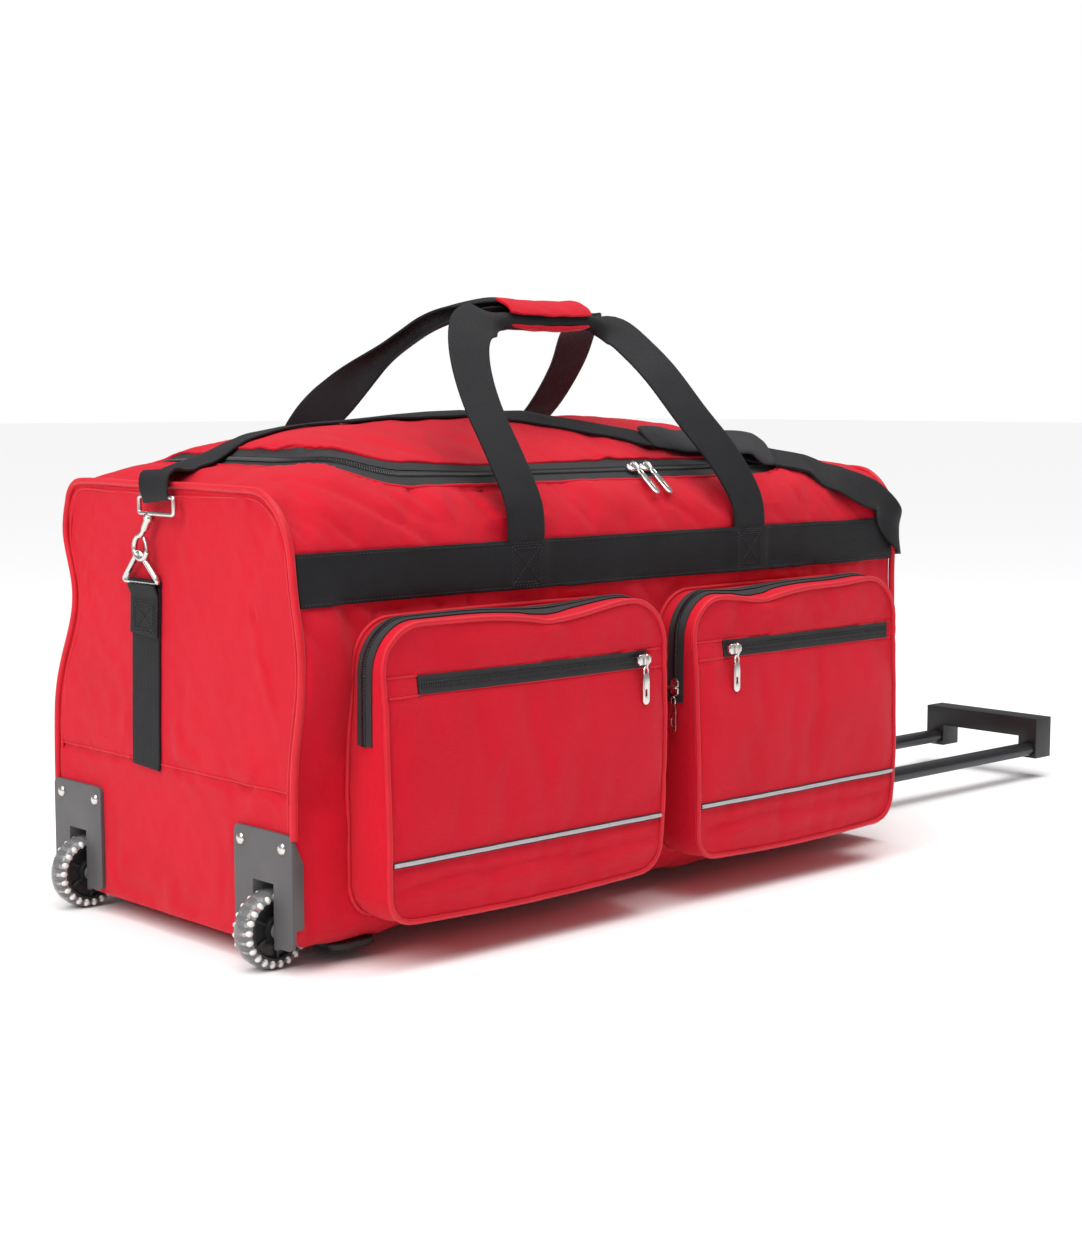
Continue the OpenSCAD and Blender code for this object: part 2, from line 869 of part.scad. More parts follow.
front_panel();
rear_panel();
base_panel();
wheel_end_panel();
handle_end_panel();
top_yoke();
base_board();
end_piping();
webbing_bands();
main_zip();
left_pocket();
right_pocket();
pocket_piping();
pocket_side_zips();
pocket_face_zips();
reflective_piping();
front_wheel_housing();
rear_wheel_housing();
housing_rivets();
corner_skids();
base_feet();
end_straps();
strap_triangles();
wheel_end_hook();
handle_end_hook();
trolley_guide_tubes();
trolley_bezel();
shoulder_strap_wheel_end();
shoulder_strap_handle_end();
wheel_axles();
front_wheel_core();
front_wheel_tyre();
front_wheel_bushes();
rear_wheel_core();
rear_wheel_tyre();
rear_wheel_bushes();
trolley_tubes();
trolley_grip();
tube_stops();
lid_panel();
lid_zip_tape();
shoulder_strap_middle();
shoulder_pad();
front_handle();
rear_handle();
handle_wrap();
wheel_end_gate();
handle_end_gate();
main_slider_left();
main_slider_right();
left_face_slider();
right_face_slider();
left_side_slider();
right_side_slider();
main_pull_left();
main_pull_right();
left_face_pull();
right_face_pull();
left_side_pull();
right_side_pull();
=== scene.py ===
"""Looks of the rolling duffel bag: cloth, webbing, zips, fittings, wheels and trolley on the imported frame."""
import json
import math

import bmesh
import bpy
import numpy as np
from mathutils import Matrix, Vector, noise
from mathutils.bvhtree import BVHTree
from mathutils.interpolate import poly_3d_calc
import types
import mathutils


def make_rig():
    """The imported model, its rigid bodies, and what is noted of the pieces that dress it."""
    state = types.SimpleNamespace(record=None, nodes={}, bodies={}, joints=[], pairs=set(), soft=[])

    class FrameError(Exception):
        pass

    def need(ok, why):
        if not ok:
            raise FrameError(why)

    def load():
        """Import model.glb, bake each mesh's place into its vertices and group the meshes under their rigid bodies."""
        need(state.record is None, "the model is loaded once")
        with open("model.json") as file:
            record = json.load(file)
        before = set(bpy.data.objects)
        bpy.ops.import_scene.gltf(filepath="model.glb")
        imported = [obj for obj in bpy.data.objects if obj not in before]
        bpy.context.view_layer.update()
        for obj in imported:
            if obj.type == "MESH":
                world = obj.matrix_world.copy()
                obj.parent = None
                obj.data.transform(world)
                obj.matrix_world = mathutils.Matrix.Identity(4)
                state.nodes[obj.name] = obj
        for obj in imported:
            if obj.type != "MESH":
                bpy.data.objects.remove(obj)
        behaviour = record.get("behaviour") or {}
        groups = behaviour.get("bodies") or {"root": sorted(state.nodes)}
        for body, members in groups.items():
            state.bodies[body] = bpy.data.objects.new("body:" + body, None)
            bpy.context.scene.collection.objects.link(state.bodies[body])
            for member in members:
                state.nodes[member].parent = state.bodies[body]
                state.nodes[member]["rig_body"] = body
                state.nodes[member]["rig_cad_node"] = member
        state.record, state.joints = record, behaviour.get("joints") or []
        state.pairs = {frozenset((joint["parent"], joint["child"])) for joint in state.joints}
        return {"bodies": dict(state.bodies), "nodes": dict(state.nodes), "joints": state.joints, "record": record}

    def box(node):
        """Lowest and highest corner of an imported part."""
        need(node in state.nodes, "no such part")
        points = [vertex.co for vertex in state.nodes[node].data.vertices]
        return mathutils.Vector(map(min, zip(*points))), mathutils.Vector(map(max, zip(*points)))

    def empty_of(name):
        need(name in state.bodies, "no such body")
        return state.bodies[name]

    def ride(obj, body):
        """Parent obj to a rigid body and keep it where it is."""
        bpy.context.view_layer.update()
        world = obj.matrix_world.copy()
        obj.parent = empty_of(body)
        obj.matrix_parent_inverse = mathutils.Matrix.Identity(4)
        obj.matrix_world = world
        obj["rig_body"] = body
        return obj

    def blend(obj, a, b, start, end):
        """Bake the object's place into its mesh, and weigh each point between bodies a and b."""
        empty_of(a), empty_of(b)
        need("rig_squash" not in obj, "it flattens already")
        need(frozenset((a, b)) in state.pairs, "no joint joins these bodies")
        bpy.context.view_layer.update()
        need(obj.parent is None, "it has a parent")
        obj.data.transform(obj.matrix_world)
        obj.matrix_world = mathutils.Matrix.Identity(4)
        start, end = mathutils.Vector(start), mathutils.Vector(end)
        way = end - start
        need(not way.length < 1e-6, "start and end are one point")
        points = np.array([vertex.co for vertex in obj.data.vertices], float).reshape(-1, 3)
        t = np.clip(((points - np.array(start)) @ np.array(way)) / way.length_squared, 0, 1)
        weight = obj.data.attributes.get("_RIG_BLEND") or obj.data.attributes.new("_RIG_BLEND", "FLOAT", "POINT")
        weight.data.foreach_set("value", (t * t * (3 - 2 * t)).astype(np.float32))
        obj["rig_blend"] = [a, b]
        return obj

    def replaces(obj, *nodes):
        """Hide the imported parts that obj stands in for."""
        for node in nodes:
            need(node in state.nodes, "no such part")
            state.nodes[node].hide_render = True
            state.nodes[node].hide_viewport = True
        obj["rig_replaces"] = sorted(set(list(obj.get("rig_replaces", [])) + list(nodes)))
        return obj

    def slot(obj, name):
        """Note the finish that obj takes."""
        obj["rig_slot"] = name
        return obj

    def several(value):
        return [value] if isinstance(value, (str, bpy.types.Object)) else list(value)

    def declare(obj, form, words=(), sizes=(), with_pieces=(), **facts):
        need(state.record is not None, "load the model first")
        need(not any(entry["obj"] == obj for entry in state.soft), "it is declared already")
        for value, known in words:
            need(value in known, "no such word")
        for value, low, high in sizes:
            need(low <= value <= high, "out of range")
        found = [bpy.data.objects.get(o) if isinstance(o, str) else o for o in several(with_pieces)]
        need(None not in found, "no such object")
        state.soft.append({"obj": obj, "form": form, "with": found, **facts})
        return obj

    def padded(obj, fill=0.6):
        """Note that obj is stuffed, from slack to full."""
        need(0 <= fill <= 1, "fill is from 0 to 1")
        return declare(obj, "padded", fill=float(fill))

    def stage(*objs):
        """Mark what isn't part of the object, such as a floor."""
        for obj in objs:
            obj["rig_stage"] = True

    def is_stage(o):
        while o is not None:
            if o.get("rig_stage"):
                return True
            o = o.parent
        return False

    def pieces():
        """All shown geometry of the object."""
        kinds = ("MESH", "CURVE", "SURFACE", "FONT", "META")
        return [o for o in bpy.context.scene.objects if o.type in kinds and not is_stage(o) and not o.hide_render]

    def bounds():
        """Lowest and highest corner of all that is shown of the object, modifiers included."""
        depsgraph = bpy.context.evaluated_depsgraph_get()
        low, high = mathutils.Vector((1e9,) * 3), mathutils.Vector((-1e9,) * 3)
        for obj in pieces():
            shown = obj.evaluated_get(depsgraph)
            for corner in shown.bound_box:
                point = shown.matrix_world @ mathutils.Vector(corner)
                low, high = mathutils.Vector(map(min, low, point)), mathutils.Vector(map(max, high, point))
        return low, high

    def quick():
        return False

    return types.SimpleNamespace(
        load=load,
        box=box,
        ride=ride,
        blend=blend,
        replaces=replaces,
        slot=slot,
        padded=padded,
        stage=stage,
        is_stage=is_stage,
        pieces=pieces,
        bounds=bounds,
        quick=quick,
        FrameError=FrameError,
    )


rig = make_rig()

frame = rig.load()
cad_box = [list(corner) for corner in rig.bounds()]
scene = bpy.context.scene

# ---- Sizes in metres and a few counts, some taken from the frame and some given -----

END_LO, END_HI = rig.box("wheel_end_panel")
HALF_L = -END_LO[0]
HALF_W = END_HI[1]
BASE_Z = END_LO[2]
END_TOP = END_HI[2]
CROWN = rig.box("lid_panel")[1][2]
LID_LO, LID_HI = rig.box("lid_zip_tape")
LID_X0, LID_X1 = LID_LO[0] - 0.001, LID_HI[0] + 0.001
LID_Y0, HINGE_Y = LID_LO[1] - 0.001, LID_HI[1] + 0.0005
LID_R = 0.070
BAND_LO, BAND_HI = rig.box("webbing_bands")
BAND_Z0, BAND_Z1 = BAND_LO[2], BAND_HI[2]
WEB = BAND_Z1 - BAND_Z0
FOOT_R, SHOULDER_R, CROWN_R = 0.028, 0.055, 0.235
SHOULDER_Y = HALF_W - SHOULDER_R
CROWN_C = CROWN - CROWN_R
SHOULDER_Z = CROWN_C + math.sqrt((CROWN_R - SHOULDER_R) ** 2 - SHOULDER_Y ** 2)
SHOULDER_A = math.degrees(math.atan2(SHOULDER_Z - CROWN_C, SHOULDER_Y))
DOME_R = (HALF_L ** 2 + (CROWN - END_TOP) ** 2) / (2 * (CROWN - END_TOP))
DOME_C = CROWN - DOME_R
YOKE_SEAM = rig.box("top_yoke")[0][2]
PIPING_R = 0.0030
SEAM_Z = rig.box("end_straps")[0][2]
MAIN_ZIP_Y = -0.130
TREAD_RIBS = 22
SPOKES = 6

# ---- Camera, floor and lights --------------------------------------------------------

def make_camera():
    data = bpy.data.cameras.new("view")
    data.sensor_fit = "VERTICAL"
    data.sensor_height = 36.0
    data.lens = 60.48
    camera = bpy.data.objects.new("view", data)
    camera.location = (-1.2797, -1.4342, 0.4371)
    camera.rotation_euler = (math.radians(90 - 6.2), 0, math.radians(-42.9))
    scene.collection.objects.link(camera)
    scene.camera = camera


def area_light(name, place, aim, size, power, tint=(1, 1, 1)):
    data = bpy.data.lights.new(name, "AREA")
    data.shape = "RECTANGLE"
    data.size, data.size_y = size
    data.energy = power
    data.color = tint
    lamp = bpy.data.objects.new(name, data)
    lamp.location = place
    lamp.rotation_euler = (Vector(aim) - Vector(place)).to_track_quat("-Z", "Y").to_euler()
    scene.collection.objects.link(lamp)


def make_stage():
    bpy.ops.mesh.primitive_plane_add(size=60, location=(0, 0, 0))
    floor = bpy.context.object
    floor.name = "studio_floor"
    paint = bpy.data.materials.new("studio_paper")
    paint.use_nodes = True
    shader = paint.node_tree.nodes["Principled BSDF"]
    shader.inputs["Base Color"].default_value = (0.97, 0.97, 0.97, 1)
    shader.inputs["Roughness"].default_value = 0.9
    shader.inputs["Specular IOR Level"].default_value = 0.1
    floor.data.materials.append(paint)
    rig.stage(floor)
    world = bpy.data.worlds.new("studio_air")
    world.use_nodes = True
    nodes, links = world.node_tree.nodes, world.node_tree.links
    air = nodes["Background"]
    air.inputs["Color"].default_value = (1, 1, 1, 1)
    air.inputs["Strength"].default_value = 0.30
    backdrop = nodes.new("ShaderNodeBackground")
    backdrop.inputs["Color"].default_value = (1, 1, 1, 1)
    seen = nodes.new("ShaderNodeLightPath")
    blend = nodes.new("ShaderNodeMixShader")
    links.new(seen.outputs["Is Camera Ray"], blend.inputs["Fac"])
    links.new(air.outputs["Background"], blend.inputs[1])
    links.new(backdrop.outputs["Background"], blend.inputs[2])
    links.new(blend.outputs["Shader"], nodes["World Output"].inputs["Surface"])
    scene.world = world
    data = bpy.data.lights.new("overhead", "SUN")
    data.energy = 2.2
    data.angle = math.radians(55)
    overhead = bpy.data.objects.new("overhead", data)
    overhead.rotation_euler = (math.radians(8), math.radians(-12), 0)
    scene.collection.objects.link(overhead)
    area_light("left_softbox", (-2.4, -0.3, 1.7), (0, 0, 0.25), (1.3, 1.3), 36)
    area_light("top_softbox", (0.9, -0.5, 2.3), (0.1, -0.1, 0.35), (1.2, 1.2), 17)
    scene.view_settings.view_transform = "Standard"


# ---- Materials --------------------------------------------------------------------------

class Finish:
    """A material with a few short helpers for its nodes."""

    def __init__(self, name, colour, roughness, metallic=0.0, specular=0.5, sheen=0.0):
        self.material = bpy.data.materials.new(name)
        self.material.use_nodes = True
        self.nodes = self.material.node_tree.nodes
        self.links = self.material.node_tree.links
        self.shader = self.nodes["Principled BSDF"]
        self.colour = colour
        self.shader.inputs["Base Color"].default_value = (*colour, 1)
        self.shader.inputs["Roughness"].default_value = roughness
        self.shader.inputs["Metallic"].default_value = metallic
        self.shader.inputs["Specular IOR Level"].default_value = specular
        if sheen:
            self.shader.inputs["Sheen Weight"].default_value = sheen
            self.shader.inputs["Sheen Roughness"].default_value = 0.45
        self.normal = None

    def coords(self, kind="Object"):
        return self.nodes.new("ShaderNodeTexCoord").outputs[kind]

    def noise(self, scale, detail=2.0, source=None, stretch=None):
        source = source or self.coords()
        if stretch:
            mapping = self.nodes.new("ShaderNodeMapping")
            mapping.inputs["Scale"].default_value = stretch
            self.links.new(source, mapping.inputs["Vector"])
            source = mapping.outputs["Vector"]
        node = self.nodes.new("ShaderNodeTexNoise")
        node.inputs["Scale"].default_value = scale
        node.inputs["Detail"].default_value = detail
        self.links.new(source, node.inputs["Vector"])
        return node.outputs["Fac"]

    def wave(self, scale, axis, source=None, bands="BANDS", distortion=0.0):
        node = self.nodes.new("ShaderNodeTexWave")
        node.wave_type = bands
        node.bands_direction = axis
        node.inputs["Scale"].default_value = scale
        node.inputs["Distortion"].default_value = distortion
        self.links.new(source or self.coords(), node.inputs["Vector"])
        return node.outputs["Fac"]

    def maths(self, kind, a, b):
        node = self.nodes.new("ShaderNodeMath")
        node.operation = kind
        for value, socket in ((a, node.inputs[0]), (b, node.inputs[1])):
            if isinstance(value, (int, float)):
                socket.default_value = value
            else:
                self.links.new(value, socket)
        return node.outputs[0]

    def bump(self, height, distance, strength=1.0):
        node = self.nodes.new("ShaderNodeBump")
        node.inputs["Distance"].default_value = distance
        node.inputs["Strength"].default_value = strength
        self.links.new(height, node.inputs["Height"])
        if self.normal:
            self.links.new(self.normal, node.inputs["Normal"])
        self.normal = node.outputs["Normal"]
        self.links.new(self.normal, self.shader.inputs["Normal"])
        return self

    def vary(self, factor, dark, light, socket="Base Color"):
        """Runs a colour, or a plain number, from dark to light with the factor."""
        ramp = self.nodes.new("ShaderNodeMapRange" if socket != "Base Color" else "ShaderNodeMix")
        if socket == "Base Color":
            ramp.data_type = "RGBA"
            ramp.inputs["A"].default_value = (*dark, 1)
            ramp.inputs["B"].default_value = (*light, 1)
            self.links.new(factor, ramp.inputs["Factor"])
            self.links.new(ramp.outputs["Result"], self.shader.inputs[socket])
        else:
            ramp.inputs["To Min"].default_value = dark
            ramp.inputs["To Max"].default_value = light
            self.links.new(factor, ramp.inputs["Value"])
            self.links.new(ramp.outputs["Result"], self.shader.inputs[socket])
        return self


def woven_polyester():
    """Red oxford cloth: a fine plain weave seen on every side, with soft crumpling."""
    f = Finish("red_woven_polyester", (0.70, 0.004, 0.022), 0.52, specular=0.13, sheen=0.07)
    threads = f.maths("ADD", f.maths("ADD", f.wave(900, "X"), f.wave(900, "Y")), f.wave(900, "Z"))
    f.vary(f.noise(14, 5), (0.56, 0.003, 0.016), (0.68, 0.005, 0.025))
    f.vary(f.noise(60, 3), 0.5, 0.64, "Roughness")
    f.bump(f.noise(38, 4), 0.0016, 0.45)
    f.bump(f.noise(160, 3), 0.0005, 0.5)
    f.bump(threads, 0.00016, 0.5)
    return f.material


def piping_cloth():
    f = Finish("red_piping_cloth", (0.62, 0.004, 0.018), 0.5, specular=0.3, sheen=0.12)
    f.vary(f.noise(40, 3), (0.48, 0.003, 0.013), (0.68, 0.005, 0.022))
    f.bump(f.noise(220, 2), 0.0006, 0.5)
    return f.material


def webbing_cloth():
    """Black ribbed webbing: rows of yarn across it and fine ribs along it, from its own UV map."""
    f = Finish("black_webbing", (0.007, 0.007, 0.008), 0.62, specular=0.24, sheen=0.04)
    uv = f.coords("UV")
    rows = f.wave(210, "X", uv, distortion=0.4)
    ribs = f.wave(150, "Y", uv)
    f.vary(f.noise(50, 3), (0.005, 0.005, 0.006), (0.012, 0.012, 0.0145))
    f.bump(f.maths("MULTIPLY", rows, ribs), 0.0004, 0.6)
    f.bump(f.noise(300, 2), 0.0003, 0.4)
    return f.material


def tape_cloth():
    f = Finish("zip_tape_cloth", (0.014, 0.014, 0.016), 0.7, sheen=0.05)
    uv = f.coords("UV")
    f.vary(f.noise(60, 2), (0.010, 0.010, 0.012), (0.018, 0.018, 0.021))
    f.bump(f.wave(320, "Y", uv), 0.0003, 0.6)
    return f.material


def coil_plastic():
    f = Finish("black_coil", (0.010, 0.010, 0.011), 0.32, specular=0.6)
    f.vary(f.noise(200, 2), 0.26, 0.42, "Roughness")
    return f.material


def nickel():
    f = Finish("nickel_plate", (0.66, 0.65, 0.62), 0.24, metallic=1.0)
    f.vary(f.noise(90, 4), 0.18, 0.36, "Roughness")
    f.vary(f.noise(30, 3), (0.56, 0.55, 0.52), (0.74, 0.73, 0.70))
    f.bump(f.noise(260, 2), 0.0001, 0.5)
    return f.material


def moulded(name, colour, roughness, grain=0.00018):
    f = Finish(name, colour, roughness, specular=0.45)
    light = tuple(min(1, c * 1.25 + 0.004) for c in colour)
    dark = tuple(c * 0.82 for c in colour)
    f.vary(f.noise(26, 4), dark, light)
    f.vary(f.noise(120, 3), roughness - 0.06, roughness + 0.08, "Roughness")
    f.bump(f.noise(900, 2), grain, 0.6)
    return f.material


def clear_urethane():
    f = Finish("clear_urethane", (0.50, 0.50, 0.50), 0.12, specular=0.6)
    f.shader.inputs["Transmission Weight"].default_value = 0.82
    f.shader.inputs["IOR"].default_value = 1.48
    f.vary(f.noise(60, 3), 0.08, 0.24, "Roughness")
    f.vary(f.noise(24, 2), (0.62, 0.62, 0.63), (0.80, 0.80, 0.80))
    return f.material


def metal_tube(name, colour, roughness):
    f = Finish(name, colour, roughness, metallic=0.75)
    f.vary(f.noise(40, 3, stretch=(0.05, 1, 1)), roughness - 0.08, roughness + 0.1, "Roughness")
    f.bump(f.noise(500, 2, stretch=(0.03, 1, 1)), 0.00008, 0.5)
    return f.material


def reflective_cloth():
    f = Finish("reflective_piping", (0.50, 0.51, 0.53), 0.35, metallic=0.4, sheen=0.3)
    f.bump(f.wave(700, "X"), 0.0002, 0.5)
    f.vary(f.noise(60, 2), (0.42, 0.43, 0.45), (0.58, 0.59, 0.61))
    return f.material


# ---- Mesh helpers --------------------------------------------------------------------------

def deselect():
    if bpy.context.object and bpy.context.object.mode != "OBJECT":
        bpy.ops.object.mode_set(mode="OBJECT")
    bpy.ops.object.select_all(action="DESELECT")


def activate(obj):
    deselect()
    obj.select_set(True)
    bpy.context.view_layer.objects.active = obj


def new_object(name, verts, faces, uvs=None):
    mesh = bpy.data.meshes.new(name)
    mesh.from_pydata([tuple(v) for v in verts], [], [tuple(f) for f in faces])
    if uvs is not None:
        layer = mesh.uv_layers.new(name="UVMap")
        index = np.empty(len(mesh.loops), dtype=np.int32)
        mesh.loops.foreach_get("vertex_index", index)
        layer.data.foreach_set("uv", np.asarray(uvs, dtype=np.float32)[index].ravel())
    obj = bpy.data.objects.new(name, mesh)
    scene.collection.objects.link(obj)
    return obj


def apply_modifier(obj, kind, **settings):
    modifier = obj.modifiers.new(kind.lower(), kind)
    for key, value in settings.items():
        setattr(modifier, key, value)
    activate(obj)
    bpy.ops.object.modifier_apply(modifier=modifier.name)
    return obj


def round_edges(obj, width, angle):
    """Rounds every edge that turns by more than the angle."""
    apply_modifier(obj, "BEVEL", width=width, segments=2, limit_method="ANGLE",
                   angle_limit=math.radians(angle))


def smooth(obj, angle=None):
    activate(obj)
    if angle:
        bpy.ops.object.shade_smooth_by_angle(angle=math.radians(angle))
    else:
        bpy.ops.object.shade_smooth()
    return obj


def facing_out(obj):
    activate(obj)
    bpy.ops.object.mode_set(mode="EDIT")
    bpy.ops.mesh.select_all(action="SELECT")
    bpy.ops.mesh.remove_doubles(threshold=0.00001)
    bpy.ops.mesh.normals_make_consistent(inside=False)
    bpy.ops.object.mode_set(mode="OBJECT")
    return obj


def join(name, parts):
    deselect()
    for part in parts:
        part.select_set(True)
    bpy.context.view_layer.objects.active = parts[0]
    bpy.ops.object.join()
    parts[0].name = name
    return parts[0]


def finish_piece(obj, material, body, nodes=(), slot=None, blend=None):
    """Gives a piece its material, its body, the solids that it stands for and its slot."""
    obj.data.materials.clear()
    obj.data.materials.append(material)
    if blend:
        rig.blend(obj, body, *blend)
    else:
        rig.ride(obj, body)
    if nodes:
        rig.replaces(obj, *nodes)
    if slot:
        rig.slot(obj, slot)
    return obj


def grid_faces(rows, columns, closed=False):
    span = columns if closed else columns - 1
    return [(r * columns + c, r * columns + (c + 1) % columns,
             (r + 1) * columns + (c + 1) % columns, (r + 1) * columns + c)
            for r in range(rows - 1) for c in range(span)]


def smooth_path(points, step=0.006):
    """A Catmull-Rom curve through the points, with even steps."""
    p = [Vector(q) for q in points]
    p = [2 * p[0] - p[1]] + p + [2 * p[-1] - p[-2]]
    fine = []
    for i in range(1, len(p) - 2):
        for k in range(24):
            t = k / 24
            fine.append(0.5 * (2 * p[i] + (p[i + 1] - p[i - 1]) * t
                               + (2 * p[i - 1] - 5 * p[i] + 4 * p[i + 1] - p[i + 2]) * t * t
                               + (3 * p[i] - p[i - 1] - 3 * p[i + 1] + p[i + 2]) * t ** 3))
    fine.append(p[-2])
    return even_steps(fine, step)


def even_steps(points, step):
    points = np.array([tuple(q) for q in points])
    lengths = np.concatenate([[0], np.cumsum(np.linalg.norm(np.diff(points, axis=0), axis=1))])
    count = max(2, int(round(lengths[-1] / step)) + 1)
    wanted = np.linspace(0, lengths[-1], count)
    return np.stack([np.interp(wanted, lengths, points[:, k]) for k in range(3)], axis=1)


def tube(name, points, radius, closed=False, sides=10):
    """A round wire or cord along points, made as a bevelled curve and turned into a mesh."""
    curve = bpy.data.curves.new(name, "CURVE")
    curve.dimensions = "3D"
    curve.bevel_depth = radius
    curve.bevel_resolution = max(1, sides // 4)
    curve.use_fill_caps = not closed
    spline = curve.splines.new("POLY")
    spline.points.add(len(points) - 1)
    for point, place in zip(spline.points, points):
        point.co = (*place, 1)
    spline.use_cyclic_u = closed
    obj = bpy.data.objects.new(name, curve)
    scene.collection.objects.link(obj)
    activate(obj)
    bpy.ops.object.convert(target="MESH")
    obj = bpy.context.object
    facing_out(obj)
    return smooth(obj, 60)


def box_piece(name, lo, hi, bevel, segments=2):
    """A block with rounded edges, from one corner to the other."""
    deselect()
    lo, hi = Vector(lo), Vector(hi)
    bpy.ops.mesh.primitive_cube_add(size=1, location=(0, 0, 0))
    obj = bpy.context.object
    obj.name = name
    bpy.ops.object.mode_set(mode="EDIT")
    bpy.ops.mesh.select_all(action="SELECT")
    bpy.ops.transform.resize(value=hi - lo, center_override=(0, 0, 0))
    bpy.ops.transform.translate(value=(lo + hi) / 2)
    if bevel:
        bpy.ops.mesh.bevel(offset=bevel, segments=segments, affect="EDGES")
    bpy.ops.object.mode_set(mode="OBJECT")
    return obj


def turned(name, profile, centre, steps=72):
    """A shape turned about the wheel's axle; each profile point is (radius, distance along the axle)."""
    deselect()
    mesh = bpy.data.meshes.new(name)
    verts = [(centre[0] + r, centre[1] + w, centre[2]) for r, w in profile]
    mesh.from_pydata(verts, [(i, (i + 1) % len(verts)) for i in range(len(verts))], [])
    obj = bpy.data.objects.new(name, mesh)
    scene.collection.objects.link(obj)
    activate(obj)
    bpy.ops.object.mode_set(mode="EDIT")
    bpy.ops.mesh.select_all(action="SELECT")
    bpy.ops.mesh.spin(steps=steps, angle=2 * math.pi, center=centre, axis=(0, 1, 0))
    bpy.ops.object.mode_set(mode="OBJECT")
    facing_out(obj)
    return smooth(obj, 35)


def soft_copy(name, node, bevel=0.0012, segments=2):
    """A copy of a moulded part with its sharp edges rounded."""
    source = frame["nodes"][node]
    obj = source.copy()
    obj.data = source.data.copy()
    obj.name = name
    for key in list(obj.keys()):
        del obj[key]
    obj.parent = None
    obj.matrix_world = Matrix.Identity(4)
    scene.collection.objects.link(obj)
    activate(obj)
    bpy.ops.object.mode_set(mode="EDIT")
    bpy.ops.mesh.select_all(action="SELECT")
    bpy.ops.mesh.remove_doubles(threshold=0.00002)
    bpy.ops.mesh.dissolve_limited(angle_limit=math.radians(1.5))
    bpy.ops.object.mode_set(mode="OBJECT")
    apply_modifier(obj, "BEVEL", width=bevel, segments=segments, limit_method="ANGLE",
                   angle_limit=math.radians(40), harden_normals=False)
    return smooth(obj, 40)


def slim_flange(shell, box):
    """Draws in the housing's side flange, whose edges are thinner than the plate's."""
    lo, hi = box
    outer = max(abs(lo[1]), abs(hi[1])) - 0.0030
    co = coordinates(shell.data)
    for p in co:
        if abs(p[1]) > outer and p[0] > lo[0] + 0.0042:
            p[0] = lo[0] + 0.0042 + (p[0] - lo[0] - 0.0042) * 0.6
            if p[2] > 0.09:
                p[2] -= 0.016
    set_coordinates(shell.data, co)


def moved_copy(obj, name, matrix):
    copy = obj.copy()
    copy.data = obj.data.copy()
    copy.name = name
    scene.collection.objects.link(copy)
    copy.data.transform(matrix)
    return copy


def cut(obj, cutter, operation):
    apply_modifier(obj, "BOOLEAN", operation=operation, object=cutter, solver="EXACT")
    return obj


def coordinates(mesh):
    co = np.empty(len(mesh.vertices) * 3)
    mesh.vertices.foreach_get("co", co)
    return co.reshape(-1, 3)


def set_coordinates(mesh, co):
    mesh.vertices.foreach_set("co", np.asarray(co, dtype=np.float32).ravel())
    mesh.update()


def settle(obj, held, pressure, slack, frames=20, cap=0.014, stiffness=12, bending=1.2):
    """Lets cloth billow and crease between the places where it is held."""
    before = coordinates(obj.data).copy()
    group = obj.vertex_groups.new(name="held")
    for weight in np.unique(np.round(held, 2)):
        if weight > 0:
            group.add([int(i) for i in np.where(np.round(held, 2) == weight)[0]], float(weight), "REPLACE")
    modifier = obj.modifiers.new("cloth", "CLOTH")
    cloth = modifier.settings
    cloth.quality = 5
    cloth.mass = 0.3
    cloth.tension_stiffness = stiffness
    cloth.compression_stiffness = stiffness
    cloth.shear_stiffness = 5
    cloth.bending_stiffness = bending
    cloth.vertex_group_mass = "held"
    cloth.pin_stiffness = 1.0
    cloth.use_pressure = True
    cloth.uniform_pressure_force = pressure
    cloth.shrink_min = -slack
    cloth.effector_weights.gravity = 0.0
    modifier.collision_settings.use_collision = False
    scene.frame_start = 1
    scene.frame_end = frames
    modifier.point_cache.frame_start = 1
    modifier.point_cache.frame_end = frames
    for number in range(1, frames + 1):
        scene.frame_set(number)
    graph = bpy.context.evaluated_depsgraph_get()
    after = coordinates(obj.evaluated_get(graph).to_mesh())
    obj.evaluated_get(graph).to_mesh_clear()
    obj.modifiers.remove(modifier)
    obj.vertex_groups.remove(group)
    move = after - before
    length = np.linalg.norm(move, axis=1, keepdims=True)
    move *= np.minimum(1, cap / np.maximum(length, 1e-9))
    set_coordinates(obj.data, before + move)
    scene.frame_set(1)


# ---- The case's shape --------------------------------------------------------------------

def arc_points(cy, cz, r, a0, a1, count=24):
    angles = np.radians(np.linspace(a0, a1, count))
    return [(cy + r * math.cos(a), cz + r * math.sin(a)) for a in angles]


def side_points(points, count):
    """count + 1 even points along a line of (y, z) places."""
    line = even_steps([(0, y, z) for y, z in points], 0.0005)
    wanted = np.linspace(0, len(line) - 1, count + 1)
    return [(np.interp(w, range(len(line)), line[:, 1]), np.interp(w, range(len(line)), line[:, 2]))
            for w in wanted]


